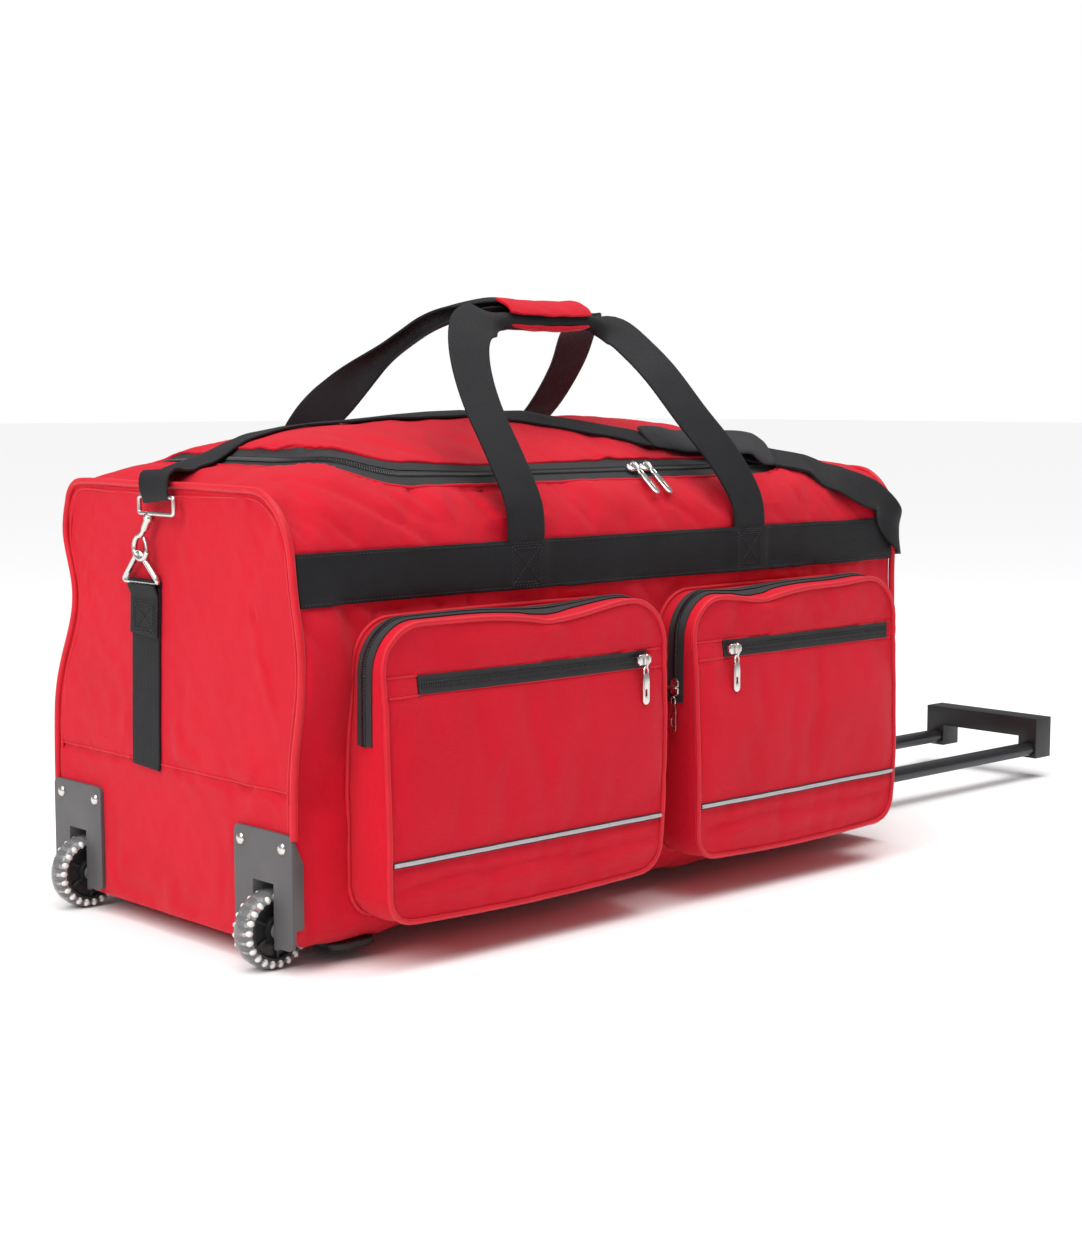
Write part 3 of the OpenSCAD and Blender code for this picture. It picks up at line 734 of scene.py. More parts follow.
def case_sides(across, up):
    """The case's cross-section as four sides: bottom, right, top and left."""
    foot_y, foot_z = HALF_W - FOOT_R, BASE_Z + FOOT_R
    bottom = arc_points(-foot_y, foot_z, FOOT_R, 225, 270) + arc_points(foot_y, foot_z, FOOT_R, 270, 315)
    right = (arc_points(foot_y, foot_z, FOOT_R, 315, 360)
             + arc_points(SHOULDER_Y, SHOULDER_Z, SHOULDER_R, 0, 45))
    top = (arc_points(SHOULDER_Y, SHOULDER_Z, SHOULDER_R, 45, SHOULDER_A, 6)
           + arc_points(0, CROWN_C, CROWN_R, SHOULDER_A, 180 - SHOULDER_A, 60)
           + arc_points(-SHOULDER_Y, SHOULDER_Z, SHOULDER_R, 180 - SHOULDER_A, 135, 6))
    left = (arc_points(-SHOULDER_Y, SHOULDER_Z, SHOULDER_R, 135, 180)
            + arc_points(-foot_y, foot_z, FOOT_R, 180, 225))
    return [side_points(bottom, across), side_points(right, up), side_points(top, across),
            side_points(left, up)]


def gauss(value, middle, width):
    return math.exp(-((value - middle) / width) ** 2)


def under_dome(x, z):
    """Height held down by the long arc of the top, with a soft shoulder where the two meet."""
    dome = DOME_C + math.sqrt(DOME_R ** 2 - x * x)
    soft = 0.004
    if abs(z - dome) >= 0.05:
        return min(z, dome)
    return -soft * math.log(math.exp(-z / soft) + math.exp(-dome / soft))


def case_point(x, y, z):
    """Where a place on the plain case lies once the bag has slumped a little."""
    z = under_dome(x, z)
    wheel_end = math.exp(-(x + HALF_L) / 0.16)
    rear = max(0.0, min(1.0, (y - 0.10) / 0.06))
    front = max(0.0, min(1.0, (-y - 0.10) / 0.06))
    corner = math.exp(-(x + HALF_L) / 0.075)
    y -= rear * wheel_end * (0.036 * gauss(z, 0.270, 0.060) + 0.010 * gauss(z, 0.345, 0.030))
    y -= front * corner * 0.014 * gauss(z, 0.235, 0.060)
    y -= front * 0.003 * gauss(z, 0.10, 0.06) * gauss(x, 0, 0.3)
    if z > 0.34:
        z += lid_step(x, y)
    return x, y, z


def lid_step(x, y):
    """How far the lid's edge stands up from the yoke: little along the front and most at the wheel end."""
    d = lid_offset(x, y)
    rise = min(1.0, max(0.0, (0.015 - d) / 0.026))
    rise = rise * rise * (3 - 2 * rise) * (gauss(-d, 0.012, 0.055) if d < -0.012 else 1.0)
    wheel_side = min(1.0, max(0.0, (-0.14 - x) / 0.12))
    return rise * (0.0015 + 0.0075 * wheel_side * (1.0 if y < 0 else gauss(y, 0, 0.07)))


LOOP_ACROSS, LOOP_UP, STATIONS = 44, 46, 92


def case_loop(x):
    bottom, right, top, left = case_sides(LOOP_ACROSS, LOOP_UP)
    return [case_point(x, y, z) for side in (bottom, right, top, left) for y, z in side[:-1]]


def coons(x, sides):
    """Inner points of an end panel from its four sides, row by row from below."""
    bottom, right, top, left = [np.array(s) for s in sides]
    top, left = top[::-1], left[::-1]
    nu, nv = len(bottom) - 1, len(right) - 1
    rows = []
    for j in range(1, nv):
        v = j / nv
        for i in range(1, nu):
            u = i / nu
            flat = ((1 - v) * bottom[i] + v * top[i] + (1 - u) * left[j] + u * right[j]
                    - (1 - u) * (1 - v) * bottom[0] - u * (1 - v) * bottom[-1]
                    - (1 - u) * v * top[0] - u * v * top[-1])
            rows.append(case_point(x, flat[0], flat[1]))
    return rows


def loop_index(i, j, nu, nv):
    """Place on the loop of an end panel's border point at column i and row j."""
    if j == 0:
        return i
    if i == nu:
        return nu + j
    if j == nv:
        return nu + nv + (nu - i)
    return (2 * nu + nv + (nv - j)) % (2 * (nu + nv))


def make_case_skin():
    """The whole case as one closed bag of cloth, before it is cut into its panels."""
    xs = np.linspace(-HALF_L, HALF_L, STATIONS + 1)
    loops = [case_loop(x) for x in xs]
    size = len(loops[0])
    verts = [p for loop in loops for p in loop]
    faces = [f[::-1] for f in grid_faces(len(xs), size, closed=True)]
    nu, nv = LOOP_ACROSS, LOOP_UP
    for x, first, flip in ((-HALF_L, 0, False), (HALF_L, STATIONS * size, True)):
        base = len(verts)
        verts += coons(x, case_sides(nu, nv))

        def at(i, j):
            if 0 < i < nu and 0 < j < nv:
                return base + (j - 1) * (nu - 1) + (i - 1)
            return first + loop_index(i, j, nu, nv)
        for j in range(nv):
            for i in range(nu):
                quad = (at(i, j), at(i, j + 1), at(i + 1, j + 1), at(i + 1, j))
                faces.append(quad[::-1] if flip else quad)
    return new_object("case_skin", verts, faces)


def lid_offset(x, y):
    """How far a place lies outside the lid's outline, negative inside it; the rear edge doesn't count."""
    cx = min(max(x, LID_X0 + LID_R), LID_X1 - LID_R)
    if y > LID_Y0 + LID_R:
        return max(LID_X0 - x, x - LID_X1)
    return math.hypot(x - cx, y - (LID_Y0 + LID_R)) - LID_R if (x != cx) else LID_Y0 - y


def pocket_boxes():
    """The pockets' places, with their soft bottoms drawn up a little."""
    places = {}
    for side in ("left", "right"):
        lo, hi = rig.box(side + "_pocket")
        places[side] = ([lo[0], lo[1], lo[2] + 0.010], hi)
    return places


POCKETS = pocket_boxes()
POCKET_R = 0.038


def rounded_offset(x, z, lo, hi, r):
    """How far (x, z) lies outside a rounded rectangle."""
    dx = abs(x - (lo[0] + hi[0]) / 2) - (hi[0] - lo[0]) / 2 + r
    dz = abs(z - (lo[2] + hi[2]) / 2) - (hi[2] - lo[2]) / 2 + r
    return math.hypot(max(dx, 0), max(dz, 0)) + min(max(dx, dz), 0) - r


def case_hold(p):
    """1 where the case's cloth is sewn or riveted down and 0 where it is free."""
    x, y, z = p
    if abs(abs(x) - HALF_L) < 0.0005 and not inside_end(y, z, 0.004):
        return 1
    if z < BASE_Z + 0.002 or (x < -HALF_L + 0.016 and abs(y) > 0.094 and z < 0.112):
        return 1
    if abs(y) > HALF_W - 0.02 and BAND_Z0 + 0.002 < z < BAND_Z1 - 0.002:
        return 1
    if z > 0.34 and y < HINGE_Y and -0.008 < lid_offset(x, y) < 0.017:
        return 1
    if y < -HALF_W + 0.004:
        for lo, hi in POCKETS.values():
            if rounded_offset(x, z, lo, hi, POCKET_R) < 0.004:
                return 1
    if abs(abs(x) - HALF_L) < 0.0005:
        if -0.016 < y < 0.058 and z > 0.135:
            return 1
        return 0.9 if abs(z - SEAM_Z) < 0.005 else 0.3
    return 0


def inside_end(y, z, margin):
    """True where (y, z) is further inside the end panel's outline than the margin."""
    dy = abs(y) - (HALF_W - SHOULDER_R)
    dz = z - (END_TOP - SHOULDER_R)
    if z > END_TOP - margin - 0.002 or z < BASE_Z + margin:
        return False
    if dz > 0 and dy > 0:
        return math.hypot(dy, dz) < SHOULDER_R - margin
    if z < BASE_Z + FOOT_R and abs(y) > HALF_W - FOOT_R:
        return math.hypot(abs(y) - HALF_W + FOOT_R, z - BASE_Z - FOOT_R) < FOOT_R - margin
    return abs(y) < HALF_W - margin - 0.040 * gauss(z, 0.268, 0.07)


def crease(obj):
    """Small folds that a loose coated cloth keeps: long soft ones and puckers beside the seams."""
    co = coordinates(obj.data)
    normals = np.empty(len(co) * 3)
    obj.data.vertices.foreach_get("normal", normals)
    normals = normals.reshape(-1, 3)
    for i, (p, n) in enumerate(zip(co, normals)):
        free = 1 - case_hold(p)
        if not free:
            continue
        q = Vector(p)
        long_fold = noise.noise(Vector((q.x * 9 + q.z * 6, q.y * 9, q.z * 13 - q.x * 5)))
        soft_fold = noise.noise(Vector((q.x * 22 - q.z * 14, q.y * 20, q.z * 24 + q.x * 10))
                                + Vector((7, 3, 1)))
        sharp = 1 - abs(noise.noise(Vector((q.x * 15 + q.z * 11, q.y * 13, q.z * 15 - q.x * 8))
                                    + Vector((1, 9, 4)))) * 2.4
        amount = 0.0040 * long_fold + 0.0017 * soft_fold + 0.0022 * max(0, sharp - 0.35)
        if abs(n[0]) > 0.6:
            amount *= 0.6
        if q.y < -0.12 and 0.12 < q.z < 0.39:
            lean = noise.noise(Vector((q.x * 26 + q.z * 24, 2, q.z * 7 - q.x * 5)))
            pull = gauss(q.z, 0.345, 0.030) + gauss(q.z, 0.268, 0.020)
            amount -= 0.0042 * pull * max(0, 1 - abs(lean) * 5) * (0.5 + 0.5 * gauss(q.x, -0.26, 0.14))
        co[i] = p + n * amount * free
        if abs(n[0]) > 0.6:
            co[i] -= n * 0.0022 * gauss(q.z, SEAM_Z - 0.002, 0.003)
    set_coordinates(obj.data, co)


SURFACE = {}


def remember_surface(key, obj):
    mesh = obj.data
    SURFACE[key] = BVHTree.FromPolygons([v.co.copy() for v in mesh.vertices],
                                        [tuple(p.vertices) for p in mesh.polygons])


def on_surface(key, origin, direction, lift=0.0, fallback=None):
    """The place where a ray meets a surface, lifted back along the ray."""
    hit = SURFACE[key].ray_cast(Vector(origin), Vector(direction), 2.0)[0]
    if hit is None:
        return Vector(fallback) if fallback is not None else Vector(origin)
    return hit - Vector(direction) * lift


def on_side(sign, x, z, lift):
    """A place on the case's front, where sign is -1, or on its rear."""
    return on_surface("case", (x, sign * 0.4, z), (0, -sign, 0), lift, (x, sign * HALF_W, z))


def prism(name, outline, z0, z1):
    """An upright block with the given (x, y) outline."""
    count = len(outline)
    verts = [(x, y, z0) for x, y in outline] + [(x, y, z1) for x, y in outline]
    faces = [tuple(range(count))[::-1], tuple(range(count, 2 * count))]
    faces += [(i, (i + 1) % count, count + (i + 1) % count, count + i) for i in range(count)]
    return new_object(name, verts, faces)


def lid_outline(d, rear):
    """The lid's plan grown outwards by d, with its rear edge at the given y."""
    cy = LID_Y0 + LID_R
    points = [(LID_X1 + d, rear), (LID_X0 - d, rear)]
    for a in np.linspace(180, 270, 19):
        points.append((LID_X0 + LID_R + (LID_R + d) * math.cos(math.radians(a)),
                       cy + (LID_R + d) * math.sin(math.radians(a))))
    for a in np.linspace(270, 360, 19):
        points.append((LID_X1 - LID_R + (LID_R + d) * math.cos(math.radians(a)),
                       cy + (LID_R + d) * math.sin(math.radians(a))))
    return points


CASE_THICK = 0.0028
YOKE_CUT, LID_CUT = 0.0150, -0.0090


def take_faces(source, name, keep):
    """A copy of the faces whose middle passes the test."""
    obj = moved_copy(source, name, Matrix.Identity(4))
    work = bmesh.new()
    work.from_mesh(obj.data)
    bmesh.ops.delete(work, geom=[f for f in work.faces if not keep(f.calc_center_median(), f)],
                     context="FACES")
    work.to_mesh(obj.data)
    work.free()
    return obj


def thicken(obj, thickness=CASE_THICK):
    return apply_modifier(obj, "SOLIDIFY", thickness=thickness, offset=-1.0, use_even_offset=False)


def follow_cloth(obj, tree, faces, before, after):
    """Moves a piece cut from the plain skin in the way the skin's own cloth has moved."""
    co = coordinates(obj.data)
    for i, p in enumerate(co):
        place, _, index, _ = tree.find_nearest(Vector(p))
        ids = faces[index]
        weights = poly_3d_calc([Vector(before[k]) for k in ids], place)
        co[i] = p + sum(w * (after[k] - before[k]) for w, k in zip(weights, ids))
    set_coordinates(obj.data, co)


def make_case(cloth):
    skin = facing_out(make_case_skin())
    plain = moved_copy(skin, "plain_skin", Matrix.Identity(4))
    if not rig.quick():
        settle(skin, np.array([case_hold(v.co) for v in skin.data.vertices]),
               pressure=3.0, slack=0.012, cap=0.012)
    for obj in (skin, plain):
        apply_modifier(obj, "SUBSURF", levels=1, render_levels=1)
    crease(skin)
    remember_surface("case", skin)
    before, after = coordinates(plain.data), coordinates(skin.data)
    faces = [tuple(p.vertices) for p in plain.data.polygons]
    tree = BVHTree.FromPolygons([Vector(p) for p in before], faces)

    def region(test):
        return lambda c, f: test(c) and not (abs(f.normal.x) > 0.6 and abs(c.x) > HALF_L - 0.02)

    def end(sign):
        return lambda c, f: f.normal.x * sign > 0.6 and abs(c.x) > HALF_L - 0.02
    panels = {
        "wheel_end": (end(-1), ["wheel_end_panel"]),
        "trolley_end": (end(1), ["handle_end_panel"]),
        "front": (region(lambda c: c.y < 0 and 0.030 < c.z < YOKE_SEAM), ["front_panel"]),
        "rear": (region(lambda c: c.y >= 0 and 0.030 < c.z < YOKE_SEAM), ["rear_panel"]),
        "base": (region(lambda c: c.z <= 0.030), ["base_panel"]),
        "top": (region(lambda c: c.z >= YOKE_SEAM), ["top_yoke"])}
    pieces = {key: thicken(take_faces(plain, key + "_cloth", test)) for key, (test, _) in panels.items()}
    pieces["lid"] = moved_copy(pieces["top"], "lid_cloth", Matrix.Identity(4))
    hole = prism("hole", lid_outline(YOKE_CUT, HINGE_Y + 0.0003), 0.30, 0.50)
    cover = prism("cover", lid_outline(LID_CUT, HINGE_Y - 0.0003), 0.30, 0.50)
    for helper in (hole, cover):
        facing_out(helper)
    cut(pieces["top"], hole, "DIFFERENCE")
    cut(pieces["lid"], cover, "INTERSECT")
    for key in ("wheel_end", "base"):
        for side in ("front", "rear"):
            lo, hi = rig.box(side + "_wheel_housing")
            bay = box_piece("bay", (lo[0] - 0.05, -0.1535 if side == "front" else 0.1185, -0.01),
                            (hi[0], -0.1185 if side == "front" else 0.1535, 0.0725), 0)
            cut(pieces[key], bay, "DIFFERENCE")
            bpy.data.objects.remove(bay)
    for y in (-0.0647, 0.0647):
        exit_hole = box_piece("exit", (HALF_L - 0.03, y - 0.0135, 0.0235),
                              (HALF_L + 0.03, y + 0.0135, 0.0445), 0)
        cut(pieces["trolley_end"], exit_hole, "DIFFERENCE")
        bpy.data.objects.remove(exit_hole)
    for helper in (hole, cover, skin, plain):
        bpy.data.objects.remove(helper)
    for key, obj in pieces.items():
        follow_cloth(obj, tree, faces, before, after)
        smooth(obj, 50)
        if key == "lid":
            finish_piece(obj, cloth, "lid", ["lid_panel"], "red_polyester")
        else:
            finish_piece(obj, cloth, "bag", panels[key][1], "red_polyester")


def make_end_piping(material):
    """The corded seam round both ends; at the wheel end it runs from one wheel housing over to the other."""
    plate_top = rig.box("front_wheel_housing")[1][2]
    cords, flaps = [], []
    for x in (-HALF_L, HALF_L):
        sign = -1 if x < 0 else 1
        bottom, right, top, left = case_sides(90, 96)
        loop = [case_point(x, y, z) for side in (right, top, left, bottom) for y, z in side[:-1]]
        if sign < 0:
            loop = [p for p in loop if p[2] > plate_top - 0.006]
        middle = Vector((x, 0, 0.2))
        cord, flap = [], []
        for p in loop:
            p = Vector(p)
            out = (p - middle).normalized()
            wobble = 0.0006 * noise.noise(p * 26)
            cord.append(p + out * (0.0004 + wobble) + Vector((sign * 0.0006, 0, 0)))
            flap.append(p - out * (0.0074 + wobble) - Vector((sign * 0.0003, 0, 0)))
        closed = sign > 0
        cords.append(tube("piping", cord, PIPING_R, closed=closed, sides=12))
        flaps.append(tube("flap", flap, 0.0011, closed=closed, sides=8))
    finish_piece(join("end_piping_cord", cords), material, "bag", ["end_piping"], "red_piping")
    finish_piece(join("end_seam_ridge", flaps), material, "bag", (), "red_piping")
    seam = [on_surface("case", (-0.6, y, SEAM_Z + 0.0005), (1, 0, 0), 0.0002, (-HALF_L, y, SEAM_Z))
            for y in np.linspace(-0.166, 0.166, 120)]
    finish_piece(tube("wheel_end_seam_cord", seam, 0.0009, sides=8), material, "bag", (), "red_piping")


# ---- Webbing ----------------------------------------------------------------------------

LEG_X = (-0.126, 0.147)


def ribbon(name, path, sides, widths, folds=None, thickness=0.0022, across=10, outs=None, lay=None):
    """Webbing along a path. sides gives the way across it, and folds the angle through which it is rolled."""
    count = len(path)
    folds = np.zeros(count) if folds is None else folds
    tangents = np.gradient(np.array(path), axis=0)
    lengths = np.concatenate([[0], np.cumsum(np.linalg.norm(np.diff(np.array(path), axis=0), axis=1))])
    verts, uvs = [], []
    for i in range(count):
        t = Vector(tangents[i]).normalized()
        s = Vector(sides[i])
        s = (s - t * s.dot(t)).normalized()
        n = s.cross(t).normalized()
        if outs is not None and n.dot(Vector(outs[i])) < 0:
            n = -n
        for k in range(across + 1):
            u = 2 * k / across - 1
            if folds[i] > 0.02:
                r = widths[i] / folds[i]
                a = folds[i] * u / 2
                place = Vector(path[i]) + s * r * math.sin(a) - n * r * (1 - math.cos(a))
            else:
                place = Vector(path[i]) + s * widths[i] * u / 2
            verts.append(place)
            uvs.append((lengths[i], widths[0] * (u + 1) / 2))
    if lay is not None:
        verts = lay(verts, count, across + 1)
    obj = new_object(name, verts, grid_faces(count, across + 1), uvs)
    apply_modifier(obj, "SOLIDIFY", thickness=thickness, offset=0.0)
    round_edges(obj, 0.0005, 60)
    facing_out(obj)
    return smooth(obj, 45)


def band_lift(x):
    """The band lies on the cloth, and over the sewn ends of the handle legs it stands further out."""
    over = max(min(1.0, max(0.0, (0.027 - abs(x - leg)) / 0.006)) for leg in LEG_X)
    return 0.0014 + 0.0024 * over * over * (3 - 2 * over)


def make_bands(material):
    parts = []
    for sign in (-1, 1):
        xs = np.linspace(-HALF_L + 0.003, HALF_L - 0.003, 150)
        rows = 9
        verts, uvs = [], []
        for x in xs:
            for k in range(rows):
                z = BAND_Z0 + WEB * k / (rows - 1) + 0.0007 * noise.noise(Vector((x * 16, sign, 0)))
                hit = on_side(sign, x, z, band_lift(x))
                verts.append(hit)
                uvs.append((x, z))
        band = new_object("band", verts, grid_faces(len(xs), rows), uvs)
        apply_modifier(band, "SOLIDIFY", thickness=0.0022, offset=0.0)
        round_edges(band, 0.0005, 60)
        facing_out(band)
        parts.append(smooth(band, 45))
    finish_piece(join("webbing_band_cloth", parts), material, "bag", ["webbing_bands"], "black_webbing")


def stitch_row(points, size=0.0028, gap=0.0011):
    """Short threads laid end to end along a line of points."""
    line = even_steps(points, 0.0005)
    step = int((size + gap) / 0.0005)
    threads = []
    for i in range(0, len(line) - step, step):
        threads.append((line[i], line[i + int(size / 0.0005)]))
    return threads


def make_stitches(name, rows, material, body, slot, out, radius=0.00038):
    """Threads as small six-sided bars that stand a little out of the webbing."""
    verts, faces = [], []
    for a, b in rows:
        a, b = Vector(a), Vector(b)
        t = (b - a).normalized()
        side = t.cross(Vector(out)).normalized()
        up = side.cross(t).normalized()
        base = len(verts)
        for place, scale in ((a, 0.35), (a + t * radius * 1.5, 1), (b - t * radius * 1.5, 1), (b, 0.35)):
            for k in range(6):
                angle = math.pi * k / 3
                verts.append(place + (side * math.cos(angle) + up * math.sin(angle)) * radius * scale)
        for ring in range(3):
            for k in range(6):
                q = base + ring * 6
                faces.append((q + k, q + (k + 1) % 6, q + 6 + (k + 1) % 6, q + 6 + k))
        faces.append(tuple(base + k for k in range(6))[::-1])
        faces.append(tuple(base + 18 + k for k in range(6)))
    obj = new_object(name, verts, faces)
    facing_out(obj)
    smooth(obj, 60)
    return finish_piece(obj, material, body, (), slot)


def boxed_cross(x0, x1, z0, z1, place):
    """The boxed cross that fixes a leg: its four sides, doubled, and both diagonals."""
    lines = []
    for inset in (0.0, 0.0022):
        corners = [(x0 + inset, z0 + inset), (x1 - inset, z0 + inset), (x1 - inset, z1 - inset),
                   (x0 + inset, z1 - inset)]
        lines += [(corners[i], corners[(i + 1) % 4]) for i in range(4)]
    lines += [((x0, z0), (x1, z1)), ((x0, z1), (x1, z0))]
    rows = []
    for (xa, za), (xb, zb) in lines:
        count = 24
        rows += stitch_row([place(xa + (xb - xa) * k / count, za + (zb - za) * k / count)
                            for k in range(count + 1)])
    return rows


def make_leg_stitching(material):
    for sign, name in ((-1, "front"), (1, "rear")):
        def place(x, z):
            return on_side(sign, x, z, band_lift(x) + 0.0013)
        rows = []
        for x in LEG_X:
            rows += boxed_cross(x - 0.016, x + 0.016, BAND_Z0 + 0.004, BAND_Z1 - 0.004, place)
        for z in (BAND_Z0 + 0.0022, BAND_Z1 - 0.0022):
            rows += stitch_row([place(x, z) for x in np.linspace(-HALF_L + 0.006, HALF_L - 0.006, 90)])
        make_stitches(name + "_band_stitching", rows, material, "bag", "black_webbing", (0, sign, 0))


WRAP_LO, WRAP_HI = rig.box("handle_wrap")
WRAP_X0, WRAP_X1 = WRAP_LO[0] + 0.005, WRAP_HI[0] - 0.016
WRAP_Y, WRAP_Z = -0.048, 0.511
WRAP_TILT = math.radians(15)
# Middle line of each carry handle's two legs, from the band up to the wrap
FRONT_LEGS = (
    [(-0.126, -0.1722, 0.300), (-0.126, -0.1726, 0.316), (-0.126, -0.1750, 0.326), (-0.126, -0.1715, 0.352),
     (-0.128, -0.153, 0.387), (-0.128, -0.124, 0.430), (-0.119, -0.099, 0.464), (-0.103, -0.079, 0.490),
     (-0.080, -0.065, 0.502)],
    [(0.147, -0.1722, 0.300), (0.147, -0.1726, 0.316), (0.147, -0.1750, 0.326), (0.144, -0.1715, 0.350),
     (0.129, -0.158, 0.385), (0.110, -0.138, 0.420), (0.098, -0.112, 0.456), (0.092, -0.088, 0.479),
     (0.081, -0.068, 0.498)])
REAR_LEGS = (
    [(-0.126, 0.1722, 0.300), (-0.126, 0.1726, 0.316), (-0.126, 0.1750, 0.326), (-0.123, 0.169, 0.354),
     (-0.110, 0.138, 0.410), (-0.094, 0.112, 0.440), (-0.080, 0.078, 0.467), (-0.074, 0.036, 0.490),
     (-0.072, -0.004, 0.505)],
    [(0.147, 0.1722, 0.300), (0.147, 0.1726, 0.316), (0.147, 0.1750, 0.326), (0.147, 0.168, 0.354),
     (0.147, 0.136, 0.396), (0.143, 0.090, 0.432), (0.128, 0.044, 0.468), (0.105, 0.006, 0.496),
     (0.083, -0.022, 0.507)])


def grip_place(across, x):
    return (x, WRAP_Y + across * math.cos(WRAP_TILT), WRAP_Z + across * math.sin(WRAP_TILT))


def evened(values):
    """Draws each value in a row towards its two neighbours."""
    last = len(values) - 1
    return [(values[max(0, i - 1)] + values[i] * 2 + values[min(last, i + 1)]) / 4 for i in range(last + 1)]


def carried_sides(path, start):
    """Carries a ribbon's across direction along its path without twisting it."""
    tangents = np.gradient(np.array(path), axis=0)
    sides = [Vector(start)]
    for k in range(1, len(path)):
        turn = Vector(tangents[k - 1]).rotation_difference(Vector(tangents[k]))
        sides.append(turn @ sides[-1])
    return sides


def make_handle(name, front, material, node):
    """A carry handle: flat webbing on both legs, rolled where it passes through the wrap."""
    grip = -0.0158 if front else 0.0158
    left, right = FRONT_LEGS if front else REAR_LEGS
    inner = [grip_place(grip, x) for x in np.linspace(WRAP_X0 - 0.004, WRAP_X1 + 0.004, 5)]
    path = smooth_path(left + inner + right[::-1], 0.004)
    tangents = np.gradient(path, axis=0)
    count = len(path)
    sign = -1 if front else 1
    rising = carried_sides(path, (-sign, 0, 0))
    falling = carried_sides(path[::-1], (sign, 0, 0))[::-1]
    sides, widths, folds = [], [], []
    for i, p in enumerate(path):
        beyond = max(WRAP_X0 - p[0], p[0] - WRAP_X1)
        reach = 0.030 if front or i > count / 2 else 0.075
        near = 1 - min(1.0, max(0.0, (beyond - 0.001) / reach))
        near = near * near * (3 - 2 * near) * min(1.0, max(0.0, (p[2] - 0.43) / 0.05))
        along = min(1.0, max(0.0, (p[0] - WRAP_X0 - 0.02) / (WRAP_X1 - WRAP_X0 - 0.04)))
        along = 1.0 if i > count * 0.6 else along if i > count * 0.4 else 0.0
        side = rising[i]
        if not front:
            twist = min(1.0, max(0.0, (p[2] - 0.34) / 0.08))
            flat_face = Vector(tangents[i]).cross(Vector((-0.68, -0.73, 0.1))).normalized()
            side = side * (1 - twist) - flat_face * twist
        sides.append((side * (1 - along) + falling[i] * along).normalized())
        widths.append(WEB * (1 - 0.08 * near - 0.9 * near * (1 - near)))
        folds.append(math.radians(330) * near)
    for _ in range(5):
        sides, folds = evened(sides), evened(folds)
    handle = ribbon(name, path, sides, widths, folds, 0.0022, 12)
    body = "front_carry_handle" if front else "rear_carry_handle"
    hinge = 0.1775 * sign
    finish_piece(handle, material, "bag", [node], "black_webbing",
                 blend=(body, (0, hinge, BAND_Z1 - 0.002), (0, hinge, BAND_Z1 + 0.012)))


def make_wrap(cloth):
    """Padded wrap round the grips: a rolled sleeve that stays open along the front."""
    section = []
    for a in np.linspace(-152, 160, 47):
        angle = math.radians(a)
        reach = (0.0196, 0.0106) if a > 0 else (0.0218, 0.0120)
        section.append((reach[0] * math.cos(angle), reach[1] * math.sin(angle)))
    xs = np.linspace(WRAP_X0, WRAP_X1, 44)
    middle, half = (WRAP_X0 + WRAP_X1) / 2, (WRAP_X1 - WRAP_X0) / 2
    verts, uvs = [], []
    turn = Matrix.Rotation(WRAP_TILT, 4, "X")
    for x in xs:
        end = abs(x - middle) / half
        swell = 1 + 0.05 * math.cos((x - middle) / half * 1.4) - 0.07 * max(0, end - 0.9) / 0.1
        sag = -0.0016 * (1 - end * end)
        for k, (y, z) in enumerate(section):
            ripple = 0.0009 * noise.noise(Vector((x * 70, y * 110, z * 110)))
            place = turn @ Vector((0, y * swell, z * swell + ripple))
            verts.append(Vector((x, WRAP_Y, WRAP_Z + sag)) + place)
            uvs.append((x, k * 0.003))
    wrap = new_object("handle_wrap_cloth", verts, grid_faces(len(xs), len(section)), uvs)
    facing_out(wrap)
    apply_modifier(wrap, "SOLIDIFY", thickness=0.0026, offset=0.0)
    round_edges(wrap, 0.0009, 60)
    facing_out(wrap)
    smooth(wrap, 50)
    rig.padded(wrap, fill=0.7)
    finish_piece(wrap, cloth, "rear_carry_handle", ["handle_wrap"], "red_polyester")


def make_end_straps(material, thread_material):
    """Anchor straps of the triangles: each lies on its end panel and loops over the triangle's lower bar."""
    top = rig.box("strap_triangles")[0][2]
    parts = []
    for sign in (-1, 1):
        def lie(z, lift):
            lean = 0.006 * (z - SEAM_Z) / 0.15
            wave = 0.0010 * noise.noise(Vector((z * 24, sign, 5)))
            hit = on_surface("case", (sign * 0.6, 0.028 - lean, z), (-sign, 0, 0), lift,
                             (sign * HALF_L, 0.028, z))
            return tuple(hit + Vector((0, wave, 0)))
        path = [lie(z, 0.0016) for z in np.linspace(SEAM_Z - 0.004, top - 0.006, 34)]
        bar = Vector((sign * (HALF_L + 0.0040), 0.024, top + 0.0018))
        for a in np.linspace(-0.35 * math.pi, 0.80 * math.pi, 9):
            path.append((bar.x - sign * 0.0036 * math.cos(a), path[33][1], bar.z + 0.0036 * math.sin(a)))
        parts.append(ribbon("strap", path, [(0, 1, 0)] * len(path), [WEB] * len(path), thickness=0.0019))
        fold = [(bar.x + sign * 0.0034, path[33][1], bar.z)]
        fold += [lie(z, 0.0038) for z in np.linspace(top - 0.007, top - 0.040, 10)]
        parts.append(ribbon("fold", fold, [(0, 1, 0)] * len(fold), [WEB] * len(fold), thickness=0.0019))
        rows = boxed_cross(0.028 - 0.020, 0.028 + 0.010, top - 0.037, top - 0.012,
                           lambda y, z: lie_point(sign, y, z, 0.0050))
        make_stitches("wheel_end_strap_stitching" if sign < 0 else "trolley_end_strap_stitching", rows,
                      thread_material, "bag", "black_webbing", (sign, 0, 0))
    finish_piece(join("end_strap_cloth", parts), material, "bag", ["end_straps"], "black_webbing")


def lie_point(sign, y, z, lift):
    return on_surface("case", (sign * 0.6, y, z), (-sign, 0, 0), lift, (sign * HALF_L, y, z))


